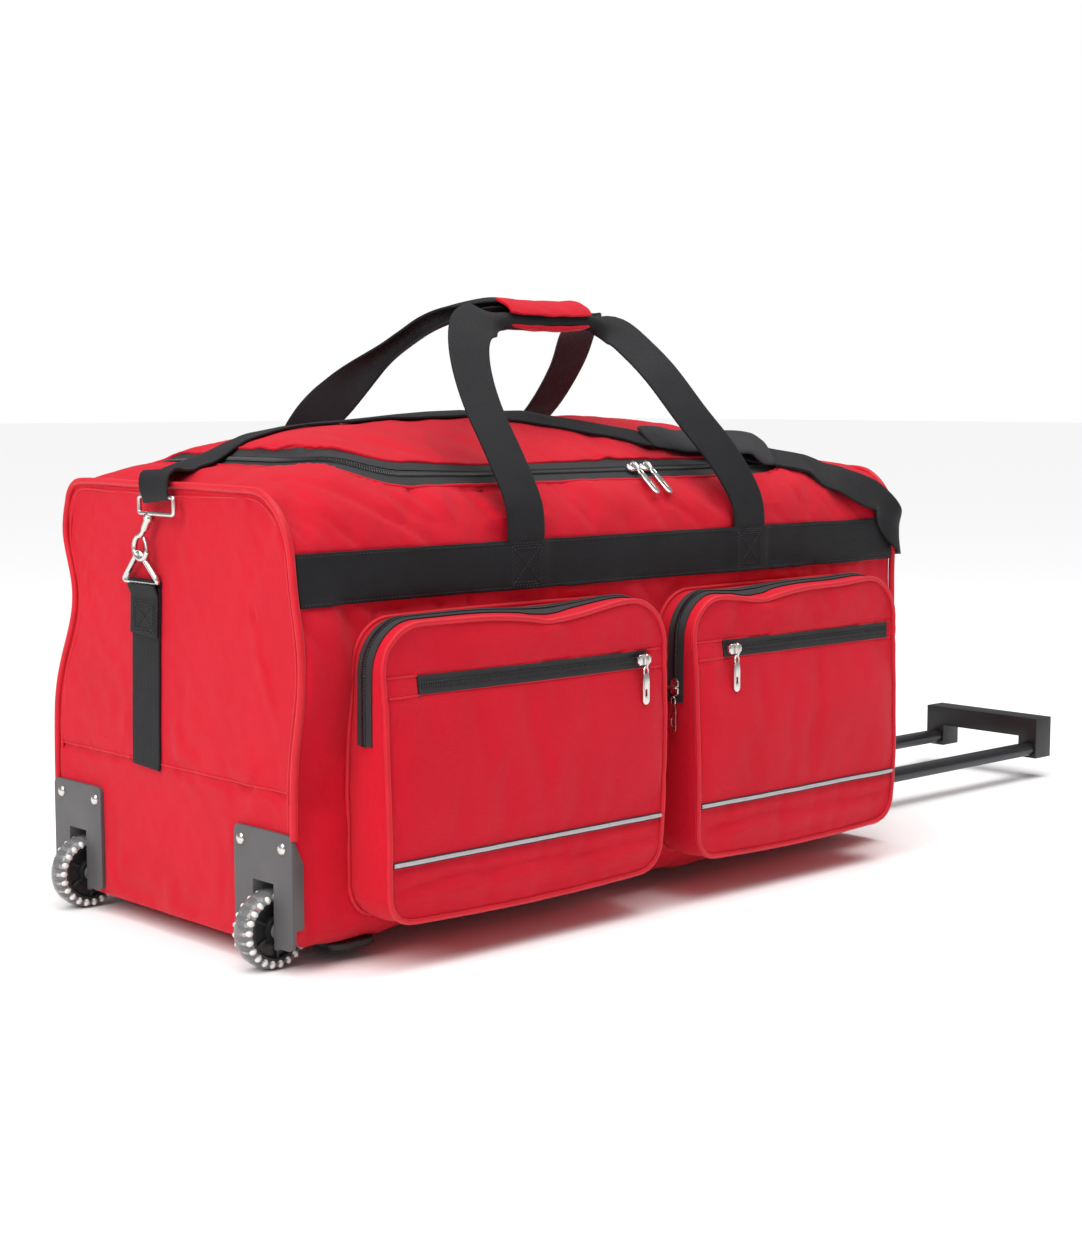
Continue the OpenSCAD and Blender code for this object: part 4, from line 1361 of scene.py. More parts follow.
def strap_points():
    """Middle line of the shoulder strap, from the hook at the wheel end to the hook at the trolley end."""
    points = [(-HALF_L - 0.0095, -0.007, 0.3545), (-HALF_L - 0.0105, -0.006, 0.362),
              (-HALF_L - 0.0085, -0.003, 0.3715), (-HALF_L + 0.001, 0.002, 0.3785)]
    flat = [(-0.335, 0.014), (-0.300, 0.028), (-0.250, 0.032), (-0.200, 0.026), (-0.150, 0.016),
            (-0.100, 0.006),
            (-0.050, -0.008), (0.0, -0.030), (0.050, -0.062), (0.100, -0.084), (0.150, -0.096),
            (0.200, -0.108),
            (0.245, -0.125), (0.285, -0.145), (0.315, -0.160), (0.338, -0.169)]
    for x, y in even_steps([(x, y, 0) for x, y in flat], 0.016)[:, :2]:
        hit, normal = SURFACE["case"].ray_cast(Vector((x, y, 0.7)), Vector((0, 0, -1)), 2.0)[:2]
        normal = normal if normal.z > 0 else -normal
        points.append(tuple(hit + normal * (0.0026 + 0.0040 * gauss(x, 0.30, 0.035))))
    points += [(0.356, -0.1755, 0.314), (HALF_L + 0.0085, -0.172, 0.303), (HALF_L + 0.0115, -0.152, 0.306),
               (HALF_L + 0.0115, -0.110, 0.322), (HALF_L + 0.0115, -0.060, 0.342),
               (HALF_L + 0.0110, -0.022, 0.355),
               (HALF_L + 0.0105, -0.007, 0.357)]
    return points


def make_shoulder_strap(material, pad_cloth):
    path = smooth_path(strap_points(), 0.005)
    tangents = np.gradient(path, axis=0)
    sides = []
    for p, t in zip(path, tangents):
        if p[0] < -HALF_L + 0.010:
            sides.append(Vector((0, -1, 0)))
            continue
        normal = SURFACE["case"].find_nearest(Vector(p))[1]
        side = Vector(t).cross(normal).normalized()
        over_end = max(0.0, min(1.0, (p[0] - 0.352) / 0.014))
        if p[0] > 0.2:
            side = side * (-1 if side.z > 0 else 1)
        else:
            side = side * (-1 if side.y > 0 else 1)
        sides.append((side * (1 - over_end) + Vector((0, -0.1, -1)) * over_end).normalized())
    for _ in range(4):
        sides = [side.normalized() for side in evened(sides)]
    sides[0] = sides[1] = Vector((0, -1, 0))
    middle = int(np.argmin([abs(p[0] - 0.170) for p in path]))
    width = WEB - 0.003
    half_a = ribbon("shoulder_strap_wheel_side", path[:middle + 1], sides[:middle + 1],
                    [width] * (middle + 1),
                    lay=lay_on_case)
    half_b = ribbon("shoulder_strap_trolley_side", path[middle:], sides[middle:],
                    [width] * (len(path) - middle),
                    lay=lay_on_case)
    finish_piece(half_a, material, "bag", ["shoulder_strap_wheel_end", "shoulder_strap_middle"],
                 "black_webbing",
                 blend=("lid", (LID_X0 - 0.030, 0, 0), (LID_X0 + 0.012, 0, 0)))
    finish_piece(half_b, material, "bag", ["shoulder_strap_handle_end"], "black_webbing",
                 blend=("lid", (LID_X1 + 0.030, 0, 0), (LID_X1 - 0.012, 0, 0)))
    make_pad(path, sides, pad_cloth)


def lie_on_case(obj, gap=0.0006):
    """Lifts a piece clear of the top of the case wherever it would sink into it."""
    co = coordinates(obj.data)
    for i, p in enumerate(co):
        if abs(p[0]) < HALF_L - 0.004 and p[2] > 0.33:
            top = on_surface("case", (p[0], p[1], 0.7), (0, 0, -1), 0, (p[0], p[1], -1))
            if p[2] < top[2] + gap:
                co[i][2] = top[2] + gap
    set_coordinates(obj.data, co)


def lay_on_case(verts, count, across):
    """Drops the strap's places on to the top of the case, bridging its narrow hollows."""
    places = np.array(verts).reshape(count, across, 3)
    level = places[:, :, 2].copy()
    ease = np.zeros((count, across))
    for i in range(count):
        for k in range(across):
            x, y, z = places[i, k]
            top = on_surface("case", (x, y, 0.7), (0, 0, -1), 0, (x, y, z - 0.0024))
            level[i, k] = top[2] + 0.0022 + 0.004 * gauss(x, 0.30, 0.035)
            ease[i, k] = min(1, max(0, (HALF_L - 0.010 - abs(x)) / 0.02)) * min(1, max(0, (0.155 + y) / 0.02))
    bridged = level.copy()
    for _ in range(30):
        bridged[1:-1] = (bridged[:-2] + bridged[1:-1] * 2 + bridged[2:]) / 4
        bridged = np.maximum(bridged, level)
    places[:, :, 2] += (bridged - places[:, :, 2]) * ease
    return [tuple(p) for p in places.reshape(-1, 3)]


def make_pad(path, sides, cloth):
    """Shoulder pad: a soft sleeve, thick in the middle and stitched thin at its edges."""
    inside = [i for i, p in enumerate(path) if 0.098 <= p[0] <= 0.236]
    verts, uvs = [], []
    across, rings = 14, len(inside)
    for r, i in enumerate(inside):
        t = (Vector(path[min(i + 1, len(path) - 1)]) - Vector(path[i - 1])).normalized()
        s = Vector(sides[i])
        s = (s - t * s.dot(t)).normalized()
        n = s.cross(t)
        n = n if n.z > 0 else -n
        end = min(r, rings - 1 - r) / 3
        round_end = min(1.0, 0.72 + 0.28 * end)
        for k in range(2 * across):
            u = k / across * 2 - 1 if k < across else 1 - (k - across) / across * 2
            thick = 0.0056 * (1 - u ** 6) * min(1.0, 0.35 + end * 0.4) + 0.0007
            side = 1 if k < across else -1
            lift = 0.0036 + side * thick * (0.75 if side > 0 else 0.35)
            verts.append(Vector(path[i]) + s * u * 0.029 * round_end + n * lift)
            uvs.append((r * 0.005, k * 0.004))
    faces = grid_faces(rings, 2 * across, closed=True)
    faces.append(tuple(range(2 * across))[::-1])
    faces.append(tuple((rings - 1) * 2 * across + k for k in range(2 * across)))
    pad = new_object("shoulder_pad_cloth", verts, faces, uvs)
    facing_out(pad)
    apply_modifier(pad, "SUBSURF", levels=1, render_levels=1)
    lie_on_case(pad)
    smooth(pad)
    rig.padded(pad, fill=0.5)
    finish_piece(pad, cloth, "lid", ["shoulder_pad"], "pad_cloth")


# ---- Zips ------------------------------------------------------------------------------------

def strip(name, place, count, d0, d1, across=5, thickness=0.0010):
    """A flat tape between two distances from a seam line; place(i, d) gives its points."""
    verts, uvs = [], []
    for i in range(count):
        for k in range(across + 1):
            d = d0 + (d1 - d0) * k / across
            verts.append(place(i, d))
            uvs.append((i * 0.003, d))
    obj = new_object(name, verts, grid_faces(count, across + 1), uvs)
    apply_modifier(obj, "SOLIDIFY", thickness=thickness, offset=0.0)
    facing_out(obj)
    return smooth(obj, 50)


def zip_line(step):
    """Plan of the main zip: (point, way out) pairs along the lid's outline."""
    cy = LID_Y0 + LID_R
    raw = [((LID_X0, y), (-1, 0)) for y in np.arange(HINGE_Y - 0.001, cy, -step)]
    for a in np.arange(180, 270, math.degrees(step / LID_R)):
        c, s = math.cos(math.radians(a)), math.sin(math.radians(a))
        raw.append(((LID_X0 + LID_R + LID_R * c, cy + LID_R * s), (c, s)))
    raw += [((x, LID_Y0), (0, -1)) for x in np.arange(LID_X0 + LID_R, LID_X1 - LID_R, step)]
    for a in np.arange(270, 360, math.degrees(step / LID_R)):
        c, s = math.cos(math.radians(a)), math.sin(math.radians(a))
        raw.append(((LID_X1 - LID_R + LID_R * c, cy + LID_R * s), (c, s)))
    raw += [((LID_X1, y), (1, 0)) for y in np.arange(cy, HINGE_Y - 0.001, step)]
    return raw


def make_chain(name, places, material, body, slot, tooth=(0.0011, 0.0062, 0.0016)):
    """Coil of a zip: one small rounded tooth, copied along the line."""
    tooth_obj = box_piece("tooth", (-tooth[0] / 2, -tooth[1] / 2, -tooth[2] / 2),
                          (tooth[0] / 2, tooth[1] / 2, tooth[2] / 2), tooth[0] * 0.35, 1)
    shape = coordinates(tooth_obj.data)
    sides = [tuple(p.vertices) for p in tooth_obj.data.polygons]
    bpy.data.objects.remove(tooth_obj)
    verts, faces = [], []
    for place, along, across, up in places:
        base = len(verts)
        frame_matrix = np.array([along, across, up])
        verts += [tuple(np.array(place) + v @ frame_matrix) for v in shape]
        faces += [tuple(base + i for i in s) for s in sides]
    obj = new_object(name, verts, faces)
    smooth(obj, 40)
    return finish_piece(obj, material, body, (), slot)


def make_main_zip(tape, coil, cloth):
    step = 0.003
    line = zip_line(step)

    def place(sink):
        def at(i, d):
            (x, y), (ox, oy) = line[i]
            px, py = x + ox * d, y + oy * d
            return on_surface("case", (px, py, 0.7), (0, 0, -1), -sink, (px, py, CROWN))
        return at
    bag_tape = strip("main_zip_tape", place(0.0016), len(line), 0.0003, 0.0165)
    finish_piece(bag_tape, tape, "bag", ["main_zip"], "zip_tape")
    lid_tape = strip("lid_zip_tape_cloth", place(0.0016), len(line), -0.0007, -0.0115)
    finish_piece(lid_tape, tape, "lid", ["lid_zip_tape"], "zip_tape")
    fine = zip_line(0.0019)
    places = []
    for i in range(1, len(fine) - 1):
        (x, y), (ox, oy) = fine[i]
        centre = 0.0035
        here = on_surface("case", (x + ox * centre, y + oy * centre, 0.7), (0, 0, -1), -0.0004)
        outer = on_surface("case", (x + ox * 0.009, y + oy * 0.009, 0.7), (0, 0, -1), -0.0004)
        across = (outer - here).normalized()
        (xn, yn), _ = fine[i + 1]
        flat = Vector((xn - x, yn - y, 0)).normalized()
        along = (flat - across * flat.dot(across)).normalized()
        places.append((here, along, across, along.cross(across)))
    make_chain("main_zip_coil", places, coil, "bag", "zip_tape")
    hinge = []
    for x in np.linspace(LID_X0 - YOKE_CUT, LID_X1 + YOKE_CUT, 130):
        hinge.append(on_surface("case", (x, HINGE_Y, 0.7), (0, 0, -1), -0.0010))
    finish_piece(tube("lid_hinge_seam", hinge, 0.0024, sides=10), cloth, "bag", (), "red_polyester")
    for name, d, body in (("yoke_zip_fold", YOKE_CUT, "bag"), ("lid_zip_fold", LID_CUT, "lid")):
        points = []
        for (x, y), (ox, oy) in line:
            points.append(on_surface("case", (x + ox * d, y + oy * d, 0.7), (0, 0, -1), -0.0006))
        fold = tube(name, points, 0.0016, sides=8)
        finish_piece(fold, cloth, body, (), "red_polyester")


# ---- Pockets ---------------------------------------------------------------------------------

def pocket_loop(lo, hi, r, nu, nv):
    """Outline of a pocket as four sides with rounded corners, tighter at the bottom."""
    def corner(cx, cz, a0, a1, radius):
        return arc_points(cx, cz, radius, a0, a1, 16)
    low = r * 0.58
    x0, x1, z0, z1 = lo[0], hi[0], lo[2], hi[2]
    bottom = corner(x0 + low, z0 + low, 225, 270, low) + corner(x1 - low, z0 + low, 270, 315, low)
    right = corner(x1 - low, z0 + low, 315, 360, low) + corner(x1 - r, z1 - r, 0, 45, r)
    top = corner(x1 - r, z1 - r, 45, 90, r) + corner(x0 + r, z1 - r, 90, 135, r)
    left = corner(x0 + r, z1 - r, 135, 180, r) + corner(x0 + low, z0 + low, 180, 225, low)
    return [side_points(bottom, nu), side_points(right, nv), side_points(top, nu), side_points(left, nv)]


FACE_ZIP_Z = (0.212, 0.227)
STRIPE_Z = 0.0855


def pocket_shape(side, x, y, z, depth):
    """Where a place on the plain pocket lies once it slumps; depth is 0 at the wall and 1 at the face."""
    lo, hi = POCKETS[side]
    u = (x - lo[0]) / (hi[0] - lo[0])
    top = max(0.0, (z - 0.20) / 0.067)
    sag = 0.0065 * gauss(u, 0.58 if side == "left" else 0.30, 0.16) - 0.003 * gauss(u, 0.85, 0.10)
    z -= depth * top * sag
    low = max(0.0, (0.11 - z) / 0.08)
    z -= depth * low * 0.004 * math.sin(math.pi * min(1, max(0, u)))
    x -= depth * 0.009 * max(0.0, (0.17 - z) / 0.13) * max(0.0, u * 2 - 1) * (1 if side == "left" else 0.5)
    y -= depth * 0.004 * gauss(z, 0.09, 0.07)
    y += depth * 0.005 * gauss(z, 0.245, 0.03) * gauss(u, 0.1, 0.2)
    return x, y, z


def make_pocket(side, cloth, piping, tape, coil, stripe):
    lo, hi = POCKETS[side]
    nu, nv, rows = 40, 32, 8
    sides = pocket_loop(lo, hi, POCKET_R, nu, nv)
    loop = [p for s in sides for p in s[:-1]]
    size = len(loop)
    verts = []
    for r in range(rows + 1):
        depth = r / rows
        for x, z in loop:
            wall = on_surface("case", (x, -0.4, z), (0, 1, 0), 0, (x, -HALF_W, z))[1] + 0.001
            swell = 0.0035 * math.sin(math.pi * depth)
            cx, cz = (lo[0] + hi[0]) / 2, (lo[2] + hi[2]) / 2
            out = Vector((x - cx, 0, z - cz)).normalized() * swell
            verts.append(pocket_shape(side, x + out.x, wall + (lo[1] - wall) * depth, z + out.z, depth))
    faces = grid_faces(rows + 1, size, closed=True)
    first = rows * size
    base = len(verts)
    b, r_, t, l_ = [np.array(s) for s in sides]
    t, l_ = t[::-1], l_[::-1]
    for j in range(1, nv):
        v = j / nv
        for i in range(1, nu):
            u = i / nu
            flat = ((1 - v) * b[i] + v * t[i] + (1 - u) * l_[j] + u * r_[j]
                    - (1 - u) * (1 - v) * b[0] - u * (1 - v) * b[-1] - (1 - u) * v * t[0] - u * v * t[-1])
            verts.append(pocket_shape(side, flat[0], lo[1], flat[1], 1.0))

    def at(i, j):
        if 0 < i < nu and 0 < j < nv:
            return base + (j - 1) * (nu - 1) + (i - 1)
        return first + loop_index(i, j, nu, nv)
    for j in range(nv):
        for i in range(nu):
            faces.append((at(i, j), at(i + 1, j), at(i + 1, j + 1), at(i, j + 1)))
    pocket = new_object(side + "_pocket_cloth", verts, faces)
    facing_out(pocket)
    zip_lo, zip_hi = face_zip_ends(side)

    def hold(p):
        if p[1] > -HALF_W - 0.004:
            return 1
        if p[1] > lo[1] + 0.014:
            return 0.92
        edge = rounded_offset(p[0], p[2], lo, hi, POCKET_R)
        if edge > -0.0015:
            return 0.95
        if FACE_ZIP_Z[0] - 0.004 < p[2] < FACE_ZIP_Z[1] + 0.004 and zip_lo - 0.004 < p[0] < zip_hi + 0.004:
            return 1
        return 0.85 if abs(p[2] - STRIPE_Z) < 0.004 else 0
    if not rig.quick():
        settle(pocket, np.array([hold(v.co) for v in pocket.data.vertices]), pressure=1.6, slack=0.009,
               cap=0.008)
    apply_modifier(pocket, "SUBSURF", levels=1, render_levels=1)
    fold_pocket(pocket, lo, hi, zip_lo, zip_hi)
    remember_surface(side, pocket)
    thicken(pocket, 0.0024)
    smooth(pocket, 50)
    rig.padded(pocket, fill=0.5)
    finish_piece(pocket, cloth, "bag", [side + "_pocket"], "red_polyester")
    make_pocket_trim(side, lo, hi, loop, zip_lo, zip_hi, piping, tape, coil, stripe)


def face_zip_ends(side):
    lo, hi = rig.box("pocket_face_zips")
    return (lo[0], -0.028) if side == "left" else (0.069, hi[0])


def fold_pocket(obj, lo, hi, zip_lo, zip_hi):
    """Sinks the slit of the face zip, presses in the seams and adds soft folds."""
    co = coordinates(obj.data)
    for i, p in enumerate(co):
        if p[1] > lo[1] + 0.014:
            continue
        x, y, z = p
        edge = -rounded_offset(x, z, lo, hi, POCKET_R)
        free = min(1.0, max(0.0, edge / 0.02))
        slit = (1 if FACE_ZIP_Z[0] - 0.0005 < z < FACE_ZIP_Z[1] + 0.0005 and zip_lo < x < zip_hi else 0)
        u = (x - lo[0]) / (hi[0] - lo[0])
        fold = noise.noise(Vector((x * 9 + z * 7, 3, z * 12 - x * 4)))
        fine = noise.noise(Vector((x * 24 - z * 12, 8, z * 22)))
        y -= free * (1 - slit) * (0.0020 * fold + 0.0008 * fine)
        y += 0.0030 * slit
        for seam in (FACE_ZIP_Z[0] - 0.001, FACE_ZIP_Z[1] + 0.001):
            y += 0.0012 * (1 - slit) * gauss(z, seam, 0.0022)
        y += 0.0016 * gauss(z, STRIPE_Z - 0.0035, 0.002)
        wander = 0.004 * noise.noise(Vector((x * 14, 5, 1)))
        y += 0.0022 * free * gauss(z, STRIPE_Z - 0.021 + 0.004 * math.sin(3 * u) + wander, 0.0032)
        y -= 0.0018 * free * gauss(z, STRIPE_Z - 0.029 + wander, 0.005)
        y += 0.0016 * free * gauss(z, STRIPE_Z - 0.040 - wander, 0.003) * gauss(u, 0.5, 0.35)
        co[i][1] = y
    set_coordinates(obj.data, co)


def make_pocket_trim(side, lo, hi, loop, zip_lo, zip_hi, piping, tape, coil, stripe):
    face_y = lo[1]
    points = []
    for x, z in loop:
        place = Vector(pocket_shape(side, x, face_y, z, 1.0))
        cx, cz = (lo[0] + hi[0]) / 2, (lo[2] + hi[2]) / 2
        out = Vector((x - cx, 0, z - cz)).normalized()
        nearest = SURFACE[side].find_nearest(place)[0]
        points.append(nearest + out * 0.0008 + Vector((0, -0.0009, 0)))
    cord = tube(side + "_pocket_piping_cord", points, 0.0023, closed=True, sides=12)
    finish_piece(cord, piping, "bag", ["pocket_piping"], "red_piping")
    back = []
    for x, z in loop:
        out = Vector((x - (lo[0] + hi[0]) / 2, 0, z - (lo[2] + hi[2]) / 2)).normalized()
        wall = on_surface("case", (x, -0.4, z), (0, 1, 0), 0, (x, -HALF_W, z))
        back.append(wall + out * 0.0022 + Vector((0, -0.0016, 0)))
    finish_piece(tube(side + "_pocket_back_cord", back, 0.0019, closed=True, sides=10), piping, "bag", (),
                 "red_piping")

    def face(x, z, lift):
        return on_surface(side, (x, -0.4, z), (0, 1, 0), lift, (x, face_y, z))
    xs = np.linspace(zip_lo + 0.0004, zip_hi - 0.0004, 90)
    tape_piece = strip(side + "_face_zip_tape", lambda i, d: face(xs[i], FACE_ZIP_Z[0] + 0.0002 + d, 0.0012),
                       len(xs), 0.0, FACE_ZIP_Z[1] - FACE_ZIP_Z[0] - 0.0004, across=6, thickness=0.0009)
    finish_piece(tape_piece, tape, "bag", ["pocket_face_zips"], "zip_tape")
    middle = sum(FACE_ZIP_Z) / 2
    places = [(face(x, middle, 0.0022), (1, 0, 0), (0, 0, 1), (0, -1, 0))
              for x in np.arange(zip_lo + 0.002, zip_hi - 0.002, 0.0017)]
    make_chain(side + "_face_zip_coil", places, coil, "bag", "zip_tape", (0.0010, 0.0048, 0.0014))
    for tag, z in (("lower", FACE_ZIP_Z[0]), ("upper", FACE_ZIP_Z[1])):
        run = np.linspace(lo[0] + 0.004, hi[0] - 0.004, 110)
        lip = tube(side + "_face_zip_lip_" + tag, [face(x, z, 0.0001) for x in run], 0.0009, sides=8)
        finish_piece(lip, bpy.data.materials["red_piping_cloth"], "bag", (), "red_piping")
    ends = np.linspace(lo[0] + 0.0035, hi[0] - 0.0035, 110)
    # A dark tape strip along the reflective cord: a painted shadow that stands in for the shade lines beside the cord.
    border = strip(side + "_reflective_border", lambda i, d: face(ends[i], STRIPE_Z - 0.0026 + d, 0.0004),
                   len(ends), 0.0, 0.0052)
    finish_piece(border, tape, "bag", (), "zip_tape")
    line = tube(side + "_reflective_cord", [face(x, STRIPE_Z, 0.0010) for x in ends], 0.0017, sides=10)
    finish_piece(line, stripe, "bag", ["reflective_piping"], "reflective_tape")
    make_side_zip(side, lo, hi, tape, coil)


def make_side_zip(side, lo, hi, tape, coil):
    """Zip round the top and both sides of a pocket's gusset."""
    zip_y, low_z, half = -HALF_W - 0.026, 0.175, 0.0085
    r = POCKET_R
    line = [(lo[0], z, -1, 0) for z in np.arange(low_z, hi[2] - r, 0.0035)]
    for a in np.arange(180, 90, -5):
        c, s = math.cos(math.radians(a)), math.sin(math.radians(a))
        line.append((lo[0] + r + r * c, hi[2] - r + r * s, c, s))
    line += [(x, hi[2], 0, 1) for x in np.arange(lo[0] + r, hi[0] - r, 0.0035)]
    for a in np.arange(90, 0, -5):
        c, s = math.cos(math.radians(a)), math.sin(math.radians(a))
        line.append((hi[0] - r + r * c, hi[2] - r + r * s, c, s))
    line += [(hi[0], z, 1, 0) for z in np.arange(hi[2] - r, low_z, -0.0035)]

    def place(i, d, lift=0.0007):
        x, z, ox, oz = line[i]
        start = (x + ox * 0.06, zip_y + d, z + oz * 0.06)
        return on_surface(side, start, (-ox, 0, -oz), lift, (x, zip_y + d, z))
    piece = strip(side + "_side_zip_tape", place, len(line), -half, half, across=6, thickness=0.0010)
    finish_piece(piece, tape, "bag", ["pocket_side_zips"], "zip_tape")
    places = []
    for i in range(len(line) - 1):
        a, b = place(i, 0, 0.0016), place(i + 1, 0, 0.0016)
        along = (b - a).normalized()
        x, z, ox, oz = line[i]
        for k in (0.0, 0.5):
            places.append((a.lerp(b, k), along, (0, 1, 0), (ox, 0, oz)))
    make_chain(side + "_side_zip_coil", places, coil, "bag", "zip_tape", (0.0010, 0.0048, 0.0014))


# ---- Zip sliders and pulls ----------------------------------------------------------------------

def slider_pattern():
    """One slider lying on a zip that runs along X, with its top facing +Z."""
    body = box_piece("slider", (-0.0062, -0.0046, 0.0005), (0.0062, 0.0046, 0.0044), 0.0012, 3)
    nose = box_piece("nose", (-0.0080, -0.0030, 0.0008), (0.0080, 0.0030, 0.0040), 0.0011, 2)
    bridge = tube("bridge", smooth_path([(0, -0.0062, 0.0036), (0, -0.0066, 0.0052), (0, -0.0045, 0.0066),
                                         (0, 0, 0.0072), (0, 0.0038, 0.0062), (0, 0.0044, 0.0040)], 0.0008),
                                         0.0011)
    return join("slider_pattern", [body, nose, bridge])


def pull_pattern():
    """One pull tab hanging along -Y from a ring at the origin: a neck ring and a slotted, round-ended tab."""
    length, half = 0.031, 0.0039
    outline = []
    for a in np.linspace(180, 360, 15):
        outline.append((half * math.cos(math.radians(a)), -length + half + half * math.sin(math.radians(a))))
    outline += [(half * 0.98, -0.012), (half * 0.72, -0.0050), (-half * 0.72, -0.0050),
                (-half * 0.98, -0.012)]
    tab = prism("tab", outline, -0.0008, 0.0008)
    slot = box_piece("slot", (-0.0011, -length + 0.0070, -0.005), (0.0011, -length + 0.0130, 0.005), 0.0)
    facing_out(tab)
    cut(tab, slot, "DIFFERENCE")
    bpy.data.objects.remove(slot)
    round_edges(tab, 0.0004, 50)
    ring = tube("ring", [(0.0024 * math.cos(a), -0.0032 + 0.0040 * math.sin(a), 0)
                         for a in np.linspace(0, 2 * math.pi, 25)[:-1]], 0.00075, closed=True)
    piece = join("pull_pattern", [tab, ring])
    return smooth(piece, 40)


def basis(place, x_axis, y_axis):
    """A placing matrix whose X and Y axes point the given ways."""
    x, y = Vector(x_axis).normalized(), Vector(y_axis).normalized()
    z = x.cross(y)
    m = Matrix((x, y, z)).transposed().to_4x4()
    m.translation = Vector(place)
    return m


def joint_place(name):
    return Vector(next(j for j in frame["joints"] if j["name"] == name)["pos_m"])


def make_sliders(metal):
    slider, pull = slider_pattern(), pull_pattern()
    slope = math.asin(-MAIN_ZIP_Y / CROWN_R)
    down = Vector((0, -math.cos(slope), -math.sin(slope)))
    fall = Vector((0, -math.cos(math.radians(40)), -math.sin(math.radians(40))))
    across, back, up = Vector((1, 0, 0)), Vector((0, 1, 0)), Vector((0, 0, 1))
    jobs = [
        ("main_slider_left", "main_pull_left", across, -down, across, -fall),
        ("main_slider_right", "main_pull_right", across, -down, across, -fall),
        ("left_face_slider", "left_face_pull", across, up, across, up),
        ("right_face_slider", "right_face_pull", across, up, across, up),
        ("left_side_slider", "left_side_pull", -up, back, back, up),
        ("right_side_slider", "right_side_pull", -up, -back, -back, up)]
    for slider_node, pull_node, sx, sy, px, py in jobs:
        lo, hi = [Vector(c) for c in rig.box(slider_node)]
        if "main" in slider_node:
            x = (lo.x + hi.x) / 2
            base = Vector((x, -CROWN_R * math.sin(slope), CROWN_C + CROWN_R * math.cos(slope)))
        elif "face" in slider_node:
            base = Vector(((lo.x + hi.x) / 2, hi.y + 0.0005, (lo.z + hi.z) / 2))
        elif "left" in slider_node:
            base = Vector((lo.x - 0.0005, (lo.y + hi.y) / 2, (lo.z + hi.z) / 2))
        else:
            base = Vector((hi.x + 0.0005, (lo.y + hi.y) / 2, (lo.z + hi.z) / 2))
        piece = moved_copy(slider, slider_node + "_metal", basis(base, sx, sy))
        smooth(piece, 40)
        finish_piece(piece, metal, slider_node + "_body", [slider_node], "nickel")
        pivot = joint_place(pull_node + "_swing")
        tab = moved_copy(pull, pull_node + "_metal", basis(pivot, px, py))
        finish_piece(tab, metal, pull_node + "_body", [pull_node], "nickel")
    for pattern in (slider, pull):
        bpy.data.objects.remove(pattern)


# ---- Snap hooks and triangles ------------------------------------------------------------------

def mirrored(points, sign):
    """Points of the wheel end, or the same at the trolley end."""
    return [(x * (1 if sign < 0 else -1), y, z) for x, y, z in points]


def make_hooks(metal):
    lo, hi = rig.box("wheel_end_hook")
    x = (lo[0] + hi[0]) / 2
    eye = Vector((x, 0.018, 0.317))
    for sign, node, end in ((-1, "wheel_end_hook", "wheel_end"), (1, "handle_end_hook", "handle_end")):
        arc = [(x, eye.y + 0.0095 * math.cos(math.radians(a)), eye.z + 0.0095 * math.sin(math.radians(a)))
               for a in np.linspace(205, 450, 30)]
        neck = [(x, 0.0150, 0.3285), (x, 0.0115, 0.3335)]
        claw = tube("claw", mirrored(arc + neck, sign), 0.0024)
        stem = tube("stem", mirrored([(x, 0.0120, 0.3320), (x, 0.0075, 0.3385), (x, 0.0035, 0.3440)], sign),
                    0.0034, sides=16)
        collar = tube("collar", mirrored([(x, 0.0060, 0.3400), (x, 0.0043, 0.3425)], sign), 0.0046, sides=16)
        bail_line = []
        for cx, cz, a0 in ((0.0165, 0.3558, 0), (-0.0285, 0.3558, 90), (-0.0285, 0.3472, 180),
                           (0.0165, 0.3472, 270)):
            for a in np.linspace(a0, a0 + 90, 6):
                bail_line.append((x, cx + 0.0025 * math.cos(math.radians(a)),
                                  cz + 0.0025 * math.sin(math.radians(a))))
        bail = tube("bail", mirrored(bail_line, sign), 0.0019, closed=True)
        tip = tube("tip", mirrored([(x, eye.y - 0.0088, eye.z - 0.0042),
                                    (x, eye.y - 0.0095, eye.z - 0.0030)], sign), 0.0026)
        hook = join(node + "_metal", [claw, stem, collar, bail, tip])
        finish_piece(hook, metal, "bag", [node], "nickel")
        gate = tube(end + "_gate_metal", mirrored([(x, eye.y - 0.0093, eye.z - 0.0030),
                                                   (x, eye.y - 0.0080, eye.z + 0.0030),
                                                   (x, eye.y - 0.0050, eye.z + 0.0078)], sign), 0.0015)
        finish_piece(gate, metal, end + "_hook_gate", [end + "_gate"], "nickel")
    rings = []
    for sign in (-1, 1):
        tx = -HALF_L - 0.0040
        corners = [Vector((tx, 0.000, 0.2885)), Vector((tx, 0.0525, 0.2885)),
                   Vector((tx - 0.0046, 0.0215, 0.3145))]
        line = []
        for i in range(3):
            a, b, c = corners[i - 1], corners[i], corners[(i + 1) % 3]
            start, end = b.lerp(a, 0.006 / (a - b).length), b.lerp(c, 0.006 / (c - b).length)
            for t in np.linspace(0, 1, 8):
                line.append(tuple(start.lerp(b, t).lerp(b.lerp(end, t), t)))
        rings.append(tube("triangle", mirrored(line, sign), 0.0026, closed=True))
    finish_piece(join("strap_triangle_metal", rings), metal, "bag", ["strap_triangles"], "nickel")


# ---- Wheels, housings, trolley --------------------------------------------------------------------

def bead_pattern():
    """One of the pale beads along the edge of the clear tyre, whose white is a painted glint."""
    deselect()
    bpy.ops.mesh.primitive_uv_sphere_add(segments=12, ring_count=8, radius=0.0025, location=(0, 0, 0))
    bead = bpy.context.object
    bead.data.transform(Matrix.Diagonal((1.0, 1.0, 1.25, 1)))
    return bead


